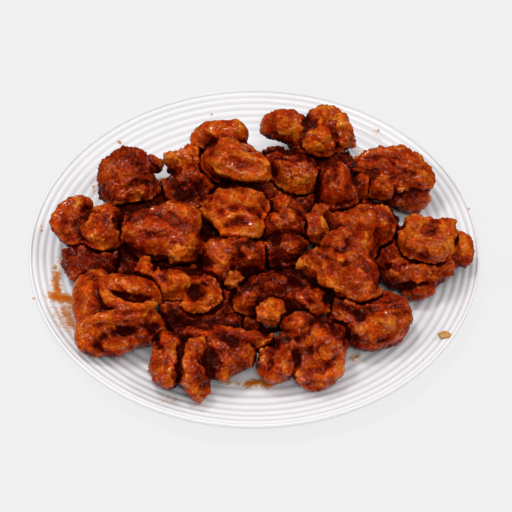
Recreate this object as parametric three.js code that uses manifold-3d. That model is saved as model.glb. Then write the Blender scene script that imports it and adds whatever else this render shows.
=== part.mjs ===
// Sauced fried chicken heaped on a round plate with a ribbed rim.
// Millimetres, +Z up, origin on the table under the middle of the plate.

import * as THREE from "three";
import { mergeVertices } from "three/addons/utils/BufferGeometryUtils.js";
import Module from "manifold-3d";

const wasm = await Module();
wasm.setup();

// ---- Plate ----
const PLATE_RADIUS = 135;
const PLATE_THICKNESS = 3.2;
const FLOOR_TOP = 5;
const FOOT_RADIUS = 86;
const FOOT_WIDTH = 5;
const FOOT_TAPER = 1;
const RIM_START = 104;
const RIM_MIDDLE = 120;
const RIM_RISE = 8;
const RIM_CURVE = 1.8;
const EDGE_ROUND = 1.4;
const PLATE_SEGMENTS = 40;

// Ribs run round the rim, each one a low swell between two fine grooves. They get closer outwards.
const FIRST_GROOVE_RADIUS = 104.3;
const RIB_COUNT = 6;
const RIB_PITCH_INNER = 5.9;
const RIB_PITCH_OUTER = 3.9;
const RIB_HEIGHT = 0.9;
const RIB_SHOULDER = 0.28;

// ---- Chicken ----
const CLEARANCE = 0.35;
const LARGE_BALL = 22;
const MIDDLING_BALL = 16;
const CREASE_FILL = 5;
const SHOULDER_FALL = 0.35;
const CRUST_KNOB = 0.7;
const FOLD_SIDES = 5;
const FOLD_STEPS = 6;
const FOLD_END_FULLNESS = 0.5;

// ---- Finishes ----
const GLAZE_WHITE = 0xf2f2f6;
const SAUCE_DARK = 0x6e1f0e;
const SAUCE_BRIGHT = 0xb9481a;
const SAUCE_ROUGHNESS = 0.3;
const GLAZE_ROUGHNESS = 0.25;

const UP = new THREE.Vector3(0, 0, 1);

// A lobe is a rounded lump: its middle from the piece's own place, its three half sizes, and its turn
// about the upright axis in degrees.
const lobe = (x, y, z, halfWidth, halfDepth, halfHeight, turn = 0) => ({
  centre: new THREE.Vector3(x, y, z),
  half: new THREE.Vector3(halfWidth, halfDepth, halfHeight),
  turn: THREE.MathUtils.degToRad(turn),
});

// A fold is a rounded ridge of skin or crust that follows a few points.
const fold = (radius, ...points) => ({
  radius,
  curve: new THREE.CatmullRomCurve3(points.map((point) => new THREE.Vector3(...point))),
});

// The heap. The low pieces that only show in the gaps come first, then those that lie on top or in front,
// since each later one gives way to all before it.
const HEAP = [
  {
    name: "chicken_low_front",
    place: [-28, -58, 11],
    tone: 0.1,
    detail: 1,
    balls: [[lobe(0, 0, 0, 24, 14, 8), lobe(12, 4, 2, 12, 10, 8), lobe(-14, -2, 1, 12, 10, 7)]],
  },
  {
    name: "chicken_low_middle",
    place: [-32, -4, 11],
    tone: 0.1,
    detail: 1,
    balls: [[lobe(0, 0, 0, 20, 26, 8), lobe(-8, -12, 1, 18, 14, 8), lobe(6, 16, 0, 12, 14, 8)]],
  },
  {
    name: "chicken_low_left",
    place: [-76, 8, 11],
    tone: 0.1,
    detail: 1,
    balls: [[lobe(0, 0, 0, 18, 28, 8), lobe(14, 26, 0, 18, 14, 8), lobe(2, -24, 1, 16, 14, 8)]],
  },
  {
    name: "chicken_low_back",
    place: [-2, 44, 11],
    tone: 0.1,
    detail: 1,
    balls: [[lobe(0, 0, 0, 28, 18, 8), lobe(-26, 0, 0, 14, 14, 7), lobe(24, -10, 1, 16, 14, 8)]],
  },
  {
    name: "chicken_low_back_right",
    place: [44, 60, 11],
    tone: 0.1,
    detail: 1,
    balls: [[lobe(0, 0, 0, 20, 20, 8), lobe(16, -18, 1, 16, 12, 8), lobe(-6, 12, 0, 16, 14, 7)]],
  },
  {
    name: "chicken_low_right",
    place: [66, 8, 11],
    tone: 0.1,
    detail: 1,
    balls: [[lobe(0, 0, 0, 22, 22, 8), lobe(-14, 8, 1, 16, 14, 8), lobe(12, -26, 0, 14, 14, 8)]],
  },
  {
    name: "chicken_low_centre",
    place: [22, -30, 11],
    tone: 0.1,
    detail: 1,
    balls: [[lobe(0, 0, 0, 24, 18, 8), lobe(24, -12, 1, 16, 14, 8), lobe(-18, -28, 0, 16, 14, 7)]],
  },
  {
    name: "chicken_right_cap",
    place: [93, -19, 36],
    tone: 0.9,
    detail: 2,
    balls: [[lobe(0, 0, 0, 9, 13, 13), lobe(10, -3, 0, 12, 13, 12), lobe(19, 7, -1, 5, 6, 9)]],
  },
  {
    name: "chicken_big_centre",
    place: [63, -12, 40],
    tone: 0.75,
    balls: [
      [lobe(0, 0, 0, 17, 11, 12, 10), lobe(12, 2, -4, 8, 10, 11), lobe(-4, -3, -16, 14, 14, 14)],
      [
        lobe(-12, -31, -4, 18, 17, 11, -25),
        lobe(-10, -14, -2, 16, 8, 11, 10),
        lobe(-3, -42, -7, 11, 11, 10),
        lobe(-28, -27, -4, 10, 7, 8, 10),
      ],
    ],
  },
  {
    name: "chicken_folded_back",
    place: [-25, 68, 30],
    tone: 0.85,
    balls: [
      [lobe(0, 0, 0, 15, 11, 13), lobe(12, 1, 2, 10, 9, 12)],
      [lobe(19, -30, 6, 19, 10, 11, -5), lobe(6, -18, 0, 14, 11, 14), lobe(16, -12, -10, 16, 14, 13)],
    ],
    hollows: [lobe(20, -37, 15, 13, 3.5, 4, -6)],
  },
  {
    name: "chicken_mid_fold",
    place: [-10, 7, 36],
    tone: 0.9,
    balls: [
      [
        lobe(0, 0, 0, 17, 10, 12),
        lobe(-15, 2, -4, 8, 6, 8),
        lobe(10, 0, -6, 8, 12, 12),
        lobe(-2, 8, -14, 18, 15, 14),
      ],
      [lobe(2, -15, -3, 13, 8, 10)],
    ],
    folds: [
      fold(3.4, [-21, -1, -6], [-14, -7, -3], [-9, -18, -1], [-1, -22, -3], [7, -22, -4], [14, -14, 0]),
    ],
    hollows: [lobe(1, -17, 5, 8, 4, 5, 10)],
  },
  {
    name: "chicken_broad_slab",
    place: [-57, -7, 30],
    tone: 0.7,
    detail: 3,
    balls: [
      [
        lobe(0, 0, 0, 21, 16, 12, 10),
        lobe(13, 4, 2, 13, 12, 12),
        lobe(15, -11, -3, 11, 11, 12),
        lobe(-4, -8, -4, 12, 8, 11),
        lobe(-16, 2, -2, 6, 6, 8),
        lobe(4, 6, -11, 18, 17, 13),
      ],
    ],
  },
  {
    name: "chicken_twin_lobes",
    place: [18, 83, 27],
    tone: 0.7,
    balls: [
      [lobe(0, 0, 0, 15, 11, 13, -8), lobe(12, 0, -7, 13, 11, 12)],
      [lobe(25, 4, 1, 11, 9, 13), lobe(36, -1, -3, 8, 13, 12), lobe(41, -11, -7, 6, 5, 8)],
      [lobe(23, -12, -2, 11, 11, 11)],
    ],
  },
  {
    name: "chicken_veined_slab",
    place: [81, 48, 25],
    tone: 0.5,
    balls: [
      [
        lobe(0, 0, 0, 20, 14, 12, -12),
        lobe(12, -6, 1, 15, 15, 12, -20),
        lobe(22, -10, -1, 9, 8, 9),
        lobe(9, 12, 2, 6, 4, 7),
        lobe(6, 0, -8, 17, 15, 11),
      ],
      [lobe(-2, -15, -1, 7, 9, 9)],
      [lobe(14, -17, -11, 15, 8, 8, 5)],
    ],
  },
  {
    name: "chicken_left_trio",
    place: [-110, 2, 26],
    tone: 0.6,
    balls: [
      [lobe(0, 0, 0, 11, 12, 13), lobe(6, 8, 3, 10, 7, 11), lobe(9, -7, -2, 13, 10, 14)],
      [lobe(21, -7, 2, 12, 15, 14, -20)],
    ],
  },
  {
    name: "chicken_ring",
    place: [-45, -44, 24],
    tone: 0.6,
    balls: [
      [lobe(0, 0, 0, 13, 9, 11), lobe(-12, 4, -3, 7, 5, 9), lobe(4, 4, -8, 16, 13, 10)],
      [lobe(-18, 11, -1, 4, 8, 6)],
      [lobe(12, -6, -9, 12, 11, 8)],
    ],
    folds: [fold(4, [4, 4, 4], [15, 2, 3], [22, -5, 1], [21, -13, -1], [12, -17, -2], [2, -13, -1])],
  },
  {
    name: "chicken_curled_skin",
    place: [-90, -56, 21],
    tone: 0.8,
    balls: [
      [lobe(0, 0, 0, 14, 22, 15, 10)],
      [lobe(18, 5, 3, 19, 10, 13, -5), lobe(16, 6, -5, 17, 15, 11)],
      [
        lobe(14, -15, -2, 23, 12, 13, 8),
        lobe(30, -16, -5, 10, 10, 10),
        lobe(11, -23, -6, 15, 9, 9),
        lobe(0, -21, -5, 11, 13, 10),
      ],
    ],
    folds: [
      fold(3.6, [4, 3, 14], [8, -9, 15], [17, -16, 15], [30, -14, 12], [38, -5, 6]),
      fold(3.6, [-9, -22, 9], [5, -23, 14], [21, -20, 14], [36, -15, 9]),
    ],
    hollows: [lobe(23, -7, 14, 14, 3, 5, 2), lobe(19, -24, 5, 14, 3, 4, 16)],
  },
  {
    name: "chicken_front_left_fold",
    place: [-48, -95, 18],
    tone: 0.6,
    balls: [
      [lobe(0, 0, 0, 10, 19, 12)],
      [lobe(15, -5, 1, 8, 19, 13), lobe(19, -16, -7, 6, 6, 6)],
      [lobe(29, 3, -1, 12, 15, 11), lobe(39, 4, -2, 10, 8, 8), lobe(22, 8, -4, 18, 12, 9)],
      [lobe(19, 15, 3, 18, 6, 10), lobe(45, 12, 1, 16, 5, 9)],
    ],
  },
  {
    name: "chicken_front_right_curl",
    place: [38, -86, 20],
    tone: 0.75,
    balls: [
      [lobe(0, 0, 0, 14, 13, 14), lobe(-16, -1, -3, 12, 11, 11), lobe(-8, 6, -5, 14, 12, 10)],
      [lobe(-13, 10, 2, 10, 7, 11)],
      [lobe(-2, -11, -6, 14, 12, 8, 10), lobe(-7, -18, -10, 10, 6, 4)],
      [lobe(-26, -9, -5, 12, 12, 9)],
    ],
  },
  {
    name: "chicken_front_mid",
    place: [7, -49, 25],
    tone: 0.7,
    balls: [
      [lobe(0, 0, 0, 15, 6, 10, 8), lobe(-11, -7, -2, 9, 6, 9), lobe(5, 0, -8, 20, 15, 11)],
      [lobe(2, -18, 0, 8, 7, 10)],
      [lobe(20, -7, -1, 12, 7, 10, -25), lobe(28, -11, -3, 7, 7, 8, -25)],
    ],
  },
  {
    name: "chicken_striated_oval",
    place: [67, -66, 19],
    tone: 0.55,
    detail: 3,
    balls: [
      [
        lobe(0, 0, 0, 21, 16, 13, 12),
        lobe(-12, 2, 0, 11, 11, 12, 30),
        lobe(11, 1, -2, 9, 14, 11),
        lobe(0, -6, -5, 17, 12, 8, 8),
        lobe(-2, 10, -4, 18, 13, 9),
      ],
    ],
  },
  {
    name: "chicken_right_base",
    place: [93, -31, 18],
    tone: 0.45,
    balls: [
      [lobe(0, 0, 0, 19, 11, 12), lobe(-8, 8, 2, 14, 12, 11), lobe(18, 8, 1, 8, 10, 10)],
      [lobe(29, 14, 4, 7, 10, 11, 10)],
      [lobe(1, -8, -5, 12, 8, 7)],
    ],
  },
  {
    name: "chicken_grainy_block",
    place: [26, 44, 23],
    tone: 0.5,
    balls: [
      [lobe(0, 0, 0, 13, 13, 14), lobe(-11, 9, -2, 10, 11, 12), lobe(-2, 10, -6, 14, 16, 11)],
      [lobe(-13, 21, -4, 9, 6, 10)],
    ],
  },
  {
    name: "chicken_stub",
    place: [38, 3, 29],
    tone: 0.6,
    balls: [[lobe(0, 0, 0, 7, 6, 10), lobe(1, -11, -3, 6, 8, 10), lobe(3, 0, -13, 9, 13, 11)]],
  },
  {
    name: "chicken_centre_left_crag",
    place: [-12, -26, 28],
    tone: 0.7,
    balls: [
      [
        lobe(0, 0, 0, 15, 9, 11),
        lobe(-9, -2, -1, 8, 9, 10),
        lobe(11, 1, -4, 8, 8, 11),
        lobe(-1, 4, -12, 17, 16, 11),
      ],
      [lobe(-10, -12, -6, 8, 5, 9)],
      [lobe(1, -15, -7, 5, 6, 8)],
    ],
    hollows: [lobe(3, -9, 9, 7, 4, 5)],
  },
  {
    name: "chicken_glossy_hump",
    place: [50, 36, 25],
    tone: 0.35,
    balls: [
      [lobe(0, 0, 0, 10, 15, 13, 10), lobe(1, -11, -2, 10, 6, 10), lobe(2, -4, -10, 13, 18, 10)],
      [lobe(15, -1, -5, 7, 6, 10)],
    ],
  },
  {
    name: "chicken_round_knob",
    place: [-79, 43, 22],
    tone: 0.4,
    balls: [
      [lobe(0, 0, 0, 17, 20, 16), lobe(10, -8, -5, 10, 8, 11), lobe(-9, -7, -4, 9, 8, 12)],
      [lobe(12, 13, -3, 6, 5, 8), lobe(18, 15, -4, 4, 4, 6)],
    ],
  },
  {
    name: "chicken_centre_crag",
    place: [17, 9, 30],
    tone: 0.3,
    balls: [
      [lobe(0, 0, 0, 8, 7, 9)],
      [lobe(1, -13, -3, 13, 9, 12), lobe(0, -5, -12, 15, 22, 12)],
      [lobe(5, -27, -6, 10, 8, 11), lobe(-3, -29, -10, 11, 10, 11)],
    ],
  },
  {
    name: "chicken_back_left_crag",
    place: [-45, 55, 22],
    tone: 0.6,
    balls: [
      [lobe(0, 0, 0, 11, 7, 12, 10), lobe(-9, 5, 0, 5, 4, 6), lobe(11, 1, -2, 9, 8, 12)],
      [lobe(5, -11, -4, 12, 8, 10), lobe(-6, -14, -8, 9, 6, 8), lobe(4, -20, -8, 15, 14, 8)],
    ],
  },
  {
    name: "chicken_left_under",
    place: [-99, -21, 15],
    tone: 0.25,
    balls: [[lobe(0, 0, 0, 13, 15, 10), lobe(-8, 4, -1, 7, 8, 9), lobe(11, 0, 0, 9, 10, 9)]],
  },
];

/** Repeatable random numbers from 0 to 1. */
function seededRandom(seed) {
  let state = seed;
  return () => {
    state = (state + 0x6d2b79f5) | 0;
    let mixed = Math.imul(state ^ (state >>> 15), 1 | state);
    mixed = (mixed + Math.imul(mixed ^ (mixed >>> 7), 61 | mixed)) ^ mixed;
    return ((mixed ^ (mixed >>> 14)) >>> 0) / 2 ** 32;
  };
}

/** The shared corners and triangles of a three.js geometry, with no normals, no seams and no slivers. */
function weld(geometry) {
  geometry.deleteAttribute("normal");
  geometry.deleteAttribute("uv");
  const welded = mergeVertices(geometry, 1e-4);
  const corners = welded.index.array;
  const kept = [];
  for (let i = 0; i < corners.length; i += 3) {
    const [a, b, c] = corners.subarray(i, i + 3);
    if (a !== b && b !== c && c !== a) {
      kept.push(a, b, c);
    }
  }
  welded.setIndex(kept);
  return welded;
}

/** The solid inside a closed geometry. */
function toSolid(geometry) {
  return new wasm.Manifold(
    new wasm.Mesh({
      numProp: 3,
      vertProperties: geometry.getAttribute("position").array,
      triVerts: new Uint32Array(geometry.index.array),
    }),
  );
}

/** The geometry of a solid, moved so that its own place becomes the origin. */
function toGeometry(solid, place) {
  const { vertProperties, triVerts } = solid.getMesh();
  const geometry = new THREE.BufferGeometry();
  geometry.setAttribute("position", new THREE.BufferAttribute(vertProperties, 3));
  geometry.setIndex(new THREE.BufferAttribute(triVerts, 1));
  geometry.translate(-place.x, -place.y, -place.z);
  geometry.computeVertexNormals();
  return geometry;
}

/** Height of the rim's upper face in the grooves. */
function rimTop(radius) {
  const way = Math.max(radius - RIM_START, 0) / (PLATE_RADIUS - RIM_START);
  return FLOOR_TOP + RIM_RISE * way ** RIM_CURVE;
}

/** Radii of the grooves between the ribs, from the inside out. */
function grooveRadii() {
  const radii = [FIRST_GROOVE_RADIUS];
  for (let i = 0; i < RIB_COUNT; i += 1) {
    const pitch = THREE.MathUtils.lerp(RIB_PITCH_INNER, RIB_PITCH_OUTER, i / (RIB_COUNT - 1));
    radii.push(radii.at(-1) + pitch);
  }
  return radii;
}

/** The ribs' section from the outermost groove in to the flat floor. */
function ribSection() {
  const grooves = grooveRadii().reverse();
  const section = [];
  for (let i = 0; i < RIB_COUNT; i += 1) {
    const pitch = grooves[i] - grooves[i + 1];
    section.push([grooves[i], 0], [grooves[i] - RIB_SHOULDER * pitch, 1]);
    section.push([grooves[i + 1] + RIB_SHOULDER * pitch, 1]);
  }
  section.push([grooves.at(-1), 0]);
  return section.map(([radius, swell]) => new THREE.Vector2(radius, rimTop(radius) + swell * RIB_HEIGHT));
}

/** A solid of revolution about the upright axis. */
function turned(profile) {
  return toSolid(weld(new THREE.LatheGeometry(profile, PLATE_SEGMENTS).rotateX(Math.PI / 2)));
}

/** The plate: foot ring, underside, rounded edge, ribbed rim and flat floor. */
function plateSolid() {
  const underside = FLOOR_TOP - PLATE_THICKNESS;
  const rimSteps = [RIM_START, RIM_MIDDLE, PLATE_RADIUS - EDGE_ROUND];
  const edgeTop = rimTop(PLATE_RADIUS);
  return turned([
    new THREE.Vector2(0, underside),
    new THREE.Vector2(FOOT_RADIUS - FOOT_WIDTH - FOOT_TAPER, underside),
    new THREE.Vector2(FOOT_RADIUS - FOOT_WIDTH, 0),
    new THREE.Vector2(FOOT_RADIUS, 0),
    new THREE.Vector2(FOOT_RADIUS + FOOT_TAPER, underside),
    ...rimSteps.map((radius) => new THREE.Vector2(radius, rimTop(radius) - PLATE_THICKNESS)),
    new THREE.Vector2(PLATE_RADIUS, edgeTop - EDGE_ROUND),
    new THREE.Vector2(PLATE_RADIUS, edgeTop - EDGE_ROUND / 4),
    new THREE.Vector2(PLATE_RADIUS - EDGE_ROUND / 2, edgeTop + RIB_HEIGHT / 2),
    ...ribSection(),
    new THREE.Vector2(0, FLOOR_TOP),
  ]);
}

/** What the plate keeps free of food: all below its floor and the crests of its ribs. */
function plateKeepOut() {
  const above = CLEARANCE + RIB_HEIGHT;
  const radii = [PLATE_RADIUS, RIM_MIDDLE, RIM_START];
  return turned([
    new THREE.Vector2(0, -FLOOR_TOP),
    new THREE.Vector2(PLATE_RADIUS, -FLOOR_TOP),
    ...radii.map((radius) => new THREE.Vector2(radius, rimTop(radius) + above)),
    new THREE.Vector2(FIRST_GROOVE_RADIUS, FLOOR_TOP + above),
    new THREE.Vector2(FIRST_GROOVE_RADIUS - above, FLOOR_TOP + CLEARANCE),
    new THREE.Vector2(0, FLOOR_TOP + CLEARANCE),
  ]);
}

/** The box round a few lobes. */
function boxOf(lobes) {
  const box = new THREE.Box3();
  for (const { centre, half } of lobes) {
    box.expandByPoint(centre.clone().sub(half));
    box.expandByPoint(centre.clone().add(half));
  }
  return box;
}

/** How far a ray has gone when it leaves a lobe. A ray that just misses the lobe counts for less. */
function wayOut(ray, { centre, half, turn }, grow) {
  const size = half.clone().addScalar(grow);
  const start = ray.origin.clone().sub(centre).applyAxisAngle(UP, -turn).divide(size);
  const step = ray.direction.clone().applyAxisAngle(UP, -turn).divide(size);
  const closest = -start.dot(step) / step.lengthSq();
  const miss = start.addScaledVector(step, closest).length();
  if (miss < 1) {
    return closest + Math.sqrt(1 - miss ** 2) / step.length();
  }
  return closest * Math.max(1 - (miss - 1) / SHOULDER_FALL, 0);
}

/** The larger of two lengths, with a soft change from one to the other. */
function softMax(a, b) {
  const blend = Math.max(CREASE_FILL - Math.abs(a - b), 0);
  return Math.max(a, b) + blend ** 2 / (4 * CREASE_FILL);
}

/** How finely a ball is cut, from its half sizes. */
function ballDetail(reach) {
  const mean = Math.cbrt(reach.x * reach.y * reach.z);
  return 1 + Number(mean > MIDDLING_BALL) + Number(mean > LARGE_BALL);
}

/** A ball pushed out to the skin of its lobes, with the small knobs of a crust. */
function ballSolid(lobes, detail, grow, random) {
  const box = boxOf(lobes);
  const reach = box.getSize(new THREE.Vector3()).divideScalar(2);
  const geometry = weld(new THREE.IcosahedronGeometry(1, detail ?? ballDetail(reach)));
  const corners = geometry.getAttribute("position");
  const ray = new THREE.Ray(box.getCenter(new THREE.Vector3()), new THREE.Vector3());
  const corner = new THREE.Vector3();
  for (let i = 0; i < corners.count; i += 1) {
    ray.direction.fromBufferAttribute(corners, i).multiply(reach).normalize();
    const skin = lobes.map((each) => wayOut(ray, each, grow)).reduce(softMax);
    ray.at(skin + CRUST_KNOB * (2 * random() - 1), corner);
    corners.setXYZ(i, corner.x, corner.y, corner.z);
  }
  return toSolid(geometry);
}

/** A ball drawn out along the fold's curve, full for most of its length and rounded at both ends. */
function foldSolid({ radius, curve }, grow) {
  const geometry = weld(new THREE.SphereGeometry(1, FOLD_SIDES, FOLD_STEPS));
  const corners = geometry.getAttribute("position");
  for (let i = 0; i < corners.count; i += 1) {
    const way = Math.acos(THREE.MathUtils.clamp(corners.getY(i), -1, 1)) / Math.PI;
    const round = Math.hypot(corners.getX(i), corners.getZ(i));
    const full = round > 0 ? round ** FOLD_END_FULLNESS / round : 0;
    const along = curve.getTangentAt(way);
    const side = along.clone().cross(UP).normalize();
    const over = along.clone().cross(side);
    const corner = curve.getPointAt(way);
    corner.addScaledVector(side, corners.getX(i) * full * (radius + grow));
    corner.addScaledVector(over, corners.getZ(i) * full * (radius + grow));
    corner.addScaledVector(along, -corners.getY(i) * grow);
    corners.setXYZ(i, corner.x, corner.y, corner.z);
  }
  return toSolid(geometry);
}

/** A piece's balls and folds joined, at its place in the heap. */
function pieceBody(piece, seed, grow) {
  const random = seededRandom(seed);
  const parts = piece.balls.map((lobes) => ballSolid(lobes, piece.detail, grow, random));
  parts.push(...(piece.folds ?? []).map((each) => foldSolid(each, grow)));
  return parts.reduce((body, part) => body.add(part)).translate(piece.place);
}

/** What a piece's hollows take away. */
function pieceHollows(piece) {
  return (piece.hollows ?? []).map((each) => ballSolid([each], 0, 0, () => 0.5).translate(piece.place));
}

/** The biggest of a solid's separate parts. */
function biggestPart(solid) {
  return solid.decompose().reduce((best, part) => (part.volume() > best.volume() ? part : best));
}

/** Sauce from dark red-brown to bright orange-brown. */
function sauceMaterial(tone) {
  return new THREE.MeshStandardMaterial({
    color: new THREE.Color(SAUCE_DARK).lerp(new THREE.Color(SAUCE_BRIGHT), tone),
    roughness: SAUCE_ROUGHNESS,
    metalness: 0,
  });
}

/** The plate's mesh. */
function plateMesh() {
  const material = new THREE.MeshStandardMaterial({
    color: GLAZE_WHITE,
    roughness: GLAZE_ROUGHNESS,
    metalness: 0,
  });
  const mesh = new THREE.Mesh(toGeometry(plateSolid(), new THREE.Vector3()), material);
  mesh.name = "plate";
  return mesh;
}

/** One mesh for each piece of chicken, cut back where the plate or an earlier piece is. */
function heapGroup() {
  const group = new THREE.Group();
  let taken = plateKeepOut();
  HEAP.forEach((piece, index) => {
    const seed = index + 1;
    const hollowed = [taken, ...pieceHollows(piece)];
    const body = hollowed.reduce((rest, cut) => rest.subtract(cut), pieceBody(piece, seed, 0));
    const place = new THREE.Vector3(...piece.place);
    const mesh = new THREE.Mesh(toGeometry(biggestPart(body), place), sauceMaterial(piece.tone));
    mesh.name = piece.name;
    mesh.position.copy(place);
    group.add(mesh);
    taken = taken.add(pieceBody(piece, seed, CLEARANCE));
  });
  return group;
}

const dish = new THREE.Group();
dish.add(plateMesh(), heapGroup());

export default dish;
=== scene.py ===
"""A heap of sauced fried chicken on a round ribbed plate, finished for rendering.

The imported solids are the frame. Each piece of chicken takes its body from its own solid: the solid is sampled on a
lattice, rounded off, worked over with the folds, slits and lumps that its piece shows, and meshed again. Geometry
Nodes then raise the fried crust on it, and turn the ribbed plate. The sauce on the plate and the crumbs are thin
meshes that follow the plate. Lengths in the sizes below are in millimetres.
"""

import logging
import math
from collections.abc import Callable, Iterator
from dataclasses import asdict, dataclass, field, fields
from enum import Enum
from typing import ClassVar

import bpy
import numpy as np
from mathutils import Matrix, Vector

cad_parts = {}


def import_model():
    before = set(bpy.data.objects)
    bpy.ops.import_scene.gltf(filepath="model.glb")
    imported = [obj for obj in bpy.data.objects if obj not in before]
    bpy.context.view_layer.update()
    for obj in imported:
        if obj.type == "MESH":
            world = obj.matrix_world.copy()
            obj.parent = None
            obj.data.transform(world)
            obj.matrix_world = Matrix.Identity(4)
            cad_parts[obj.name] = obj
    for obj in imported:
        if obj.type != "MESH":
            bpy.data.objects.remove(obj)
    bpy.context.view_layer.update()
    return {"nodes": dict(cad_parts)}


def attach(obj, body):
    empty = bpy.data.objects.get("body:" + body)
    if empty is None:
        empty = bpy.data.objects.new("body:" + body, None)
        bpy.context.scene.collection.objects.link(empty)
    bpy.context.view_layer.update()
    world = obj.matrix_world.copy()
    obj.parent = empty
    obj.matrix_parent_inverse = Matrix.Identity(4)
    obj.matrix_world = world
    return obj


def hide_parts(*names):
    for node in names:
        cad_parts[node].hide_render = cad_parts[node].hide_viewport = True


MM = 0.001
WHITE = (1.0, 1.0, 1.0, 1.0)

# The lattice that the solids are worked on.
LATTICE_PITCH = 0.75  # step between samples
LATTICE_NUDGE = (0.37e-3, 0.61e-3)  # keeps its lines off the solids' corners
SOLID_MARGIN = 5.0  # room round a solid
ROUNDING = 1.15  # spread of the blur that rounds a solid off
BLUR_REACH = 2.6  # where a blur is cut off, in spreads
LOGISTIC = 1.702  # steepness of the logistic curve like a blurred edge
REACH = 6.5  # greatest depth that is told apart
CROWD_STEP = 2  # its steps in one of the coarse lattice of all pieces
CROWD_BLUR = 2.6  # spread of the blur there, in coarse steps
CROWD_ROOM = 7  # coarse steps that this blur reaches

# How strokes are worked into a piece.
PATH_STEPS = 4  # steps between two points of a path
HOLLOW_STEPS = 3  # the same on a hollow between pieces
SEARCH_REACH = 60.0  # how far round a piece's middle a sight line is searched
SEARCH_STEP = 0.4
DEEP_SLIT = 3.5  # a slit this deep is cut out, others are dents
LEAST_BLEND = 1.0  # least rounding along a stroke
SLIT_BLEND, RIDGE_BLEND = 0.8, 1.5  # its rounding, against half its width
TAPER_END, TAPER_BULGE = 0.55, 0.45  # its width at the ends, and what the middle adds
DENT_SHARE = 0.55  # spread of a dent, against its width
HOLLOW_REACH = 1.6  # how far round its line a hollow counts, in widths
DENT_DEPTH = 5.0  # how near the skin a hollow moves samples

# How strokes and shades colour a piece: painted shade in slits and hollows, painted light on ridges, and brighter and
# darker patches.
STROKE_SPREAD, STROKE_EDGE = 0.62, 0.6  # spread of a stroke's tone: share of its width, and more
SLIT_TONE = 0.6  # how much of a slit's painted shade counts
SHADE_SPREAD = 0.65  # spread of a shade's tone, against its width
BRIGHT_TONE, MID_TONE = 0.70, 0.35  # least tones of the bright and the middle sauce

# How pieces meet.
OPEN_FILL, LOW_FILL = 0.3, 2.2  # how far an upper and a low piece swell on their own
CLOSING = 2.3  # how much more they swell where others are near
CLOSE_FROM, CLOSE_SPAN = 0.05, 0.16  # share of others where this starts, and until it is full
SKIN_ALLOWANCE = 2.0  # how far a stroke may raise the skin
GAP, OVERLAP = 0.4, 0.35  # room under a neighbour, and lap over one
NEIGHBOUR_REACH, NEIGHBOUR_FALL = 3.5, 3.0  # past this depth outside a neighbour it soon stops counting
LIP, SHOULDER = 3.0, 5.5  # rounding over a neighbour, and beneath one
PLATE_CLEARANCE = 0.3
CRUST_BESIDE = (-0.3, 1.8)  # where the crust starts inside the border with a neighbour, and how soon it is full
CRUST_ABOVE = (0.5, 2.5)  # the same over the plate
PLATE_ROUNDS = 12  # rounds that settle a sight line on the plate

logging.basicConfig(level=logging.INFO, format="%(message)s")
log = logging.getLogger("fried_chicken")


# ---------------- node trees


def operator(operation: str, reflected: bool = False) -> Callable:
    """Makes a method of Link that adds a Math node.

    Args:
        operation: The Math node's operation.
        reflected: Whether the link is its second value.

    Returns:
        The method.
    """
    def method(link: "Link", *others: object) -> "Link":
        """Adds the Math node on the link and the other values."""
        values = (*others, link) if reflected else (link, *others)
        return link.graph.node("ShaderNodeMath", {"operation": operation}, dict(enumerate(values)))

    return method


class Link:
    """One value in a node tree. Arithmetic on it adds Math nodes."""

    __add__, __radd__ = operator("ADD"), operator("ADD", True)
    __sub__, __rsub__ = operator("SUBTRACT"), operator("SUBTRACT", True)
    __mul__, __rmul__ = operator("MULTIPLY"), operator("MULTIPLY", True)
    __truediv__, __rtruediv__ = operator("DIVIDE"), operator("DIVIDE", True)
    __pow__ = operator("POWER")
    at_least, at_most = operator("MAXIMUM"), operator("MINIMUM")
    absolute, root, sine, cosine = (operator(name) for name in ("ABSOLUTE", "SQRT", "SINE", "COSINE"))

    def __init__(self, graph: "Graph", socket: bpy.types.NodeSocket) -> None:
        """Keeps the tree and the output socket that the value comes from."""
        self.graph = graph
        self.socket = socket

    def clamped(self) -> "Link":
        """Keeps the value between 0 and 1."""
        return self.at_least(0.0).at_most(1.0)

    def part_of(self, low: float, high: float) -> "Link":
        """Says how far the value is on the way from low to high, eased, from 0 to 1."""
        settings = {"interpolation_type": "SMOOTHSTEP"}
        return self.graph.node("ShaderNodeMapRange", settings, {"Value": self, "From Min": low, "From Max": high})


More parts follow.
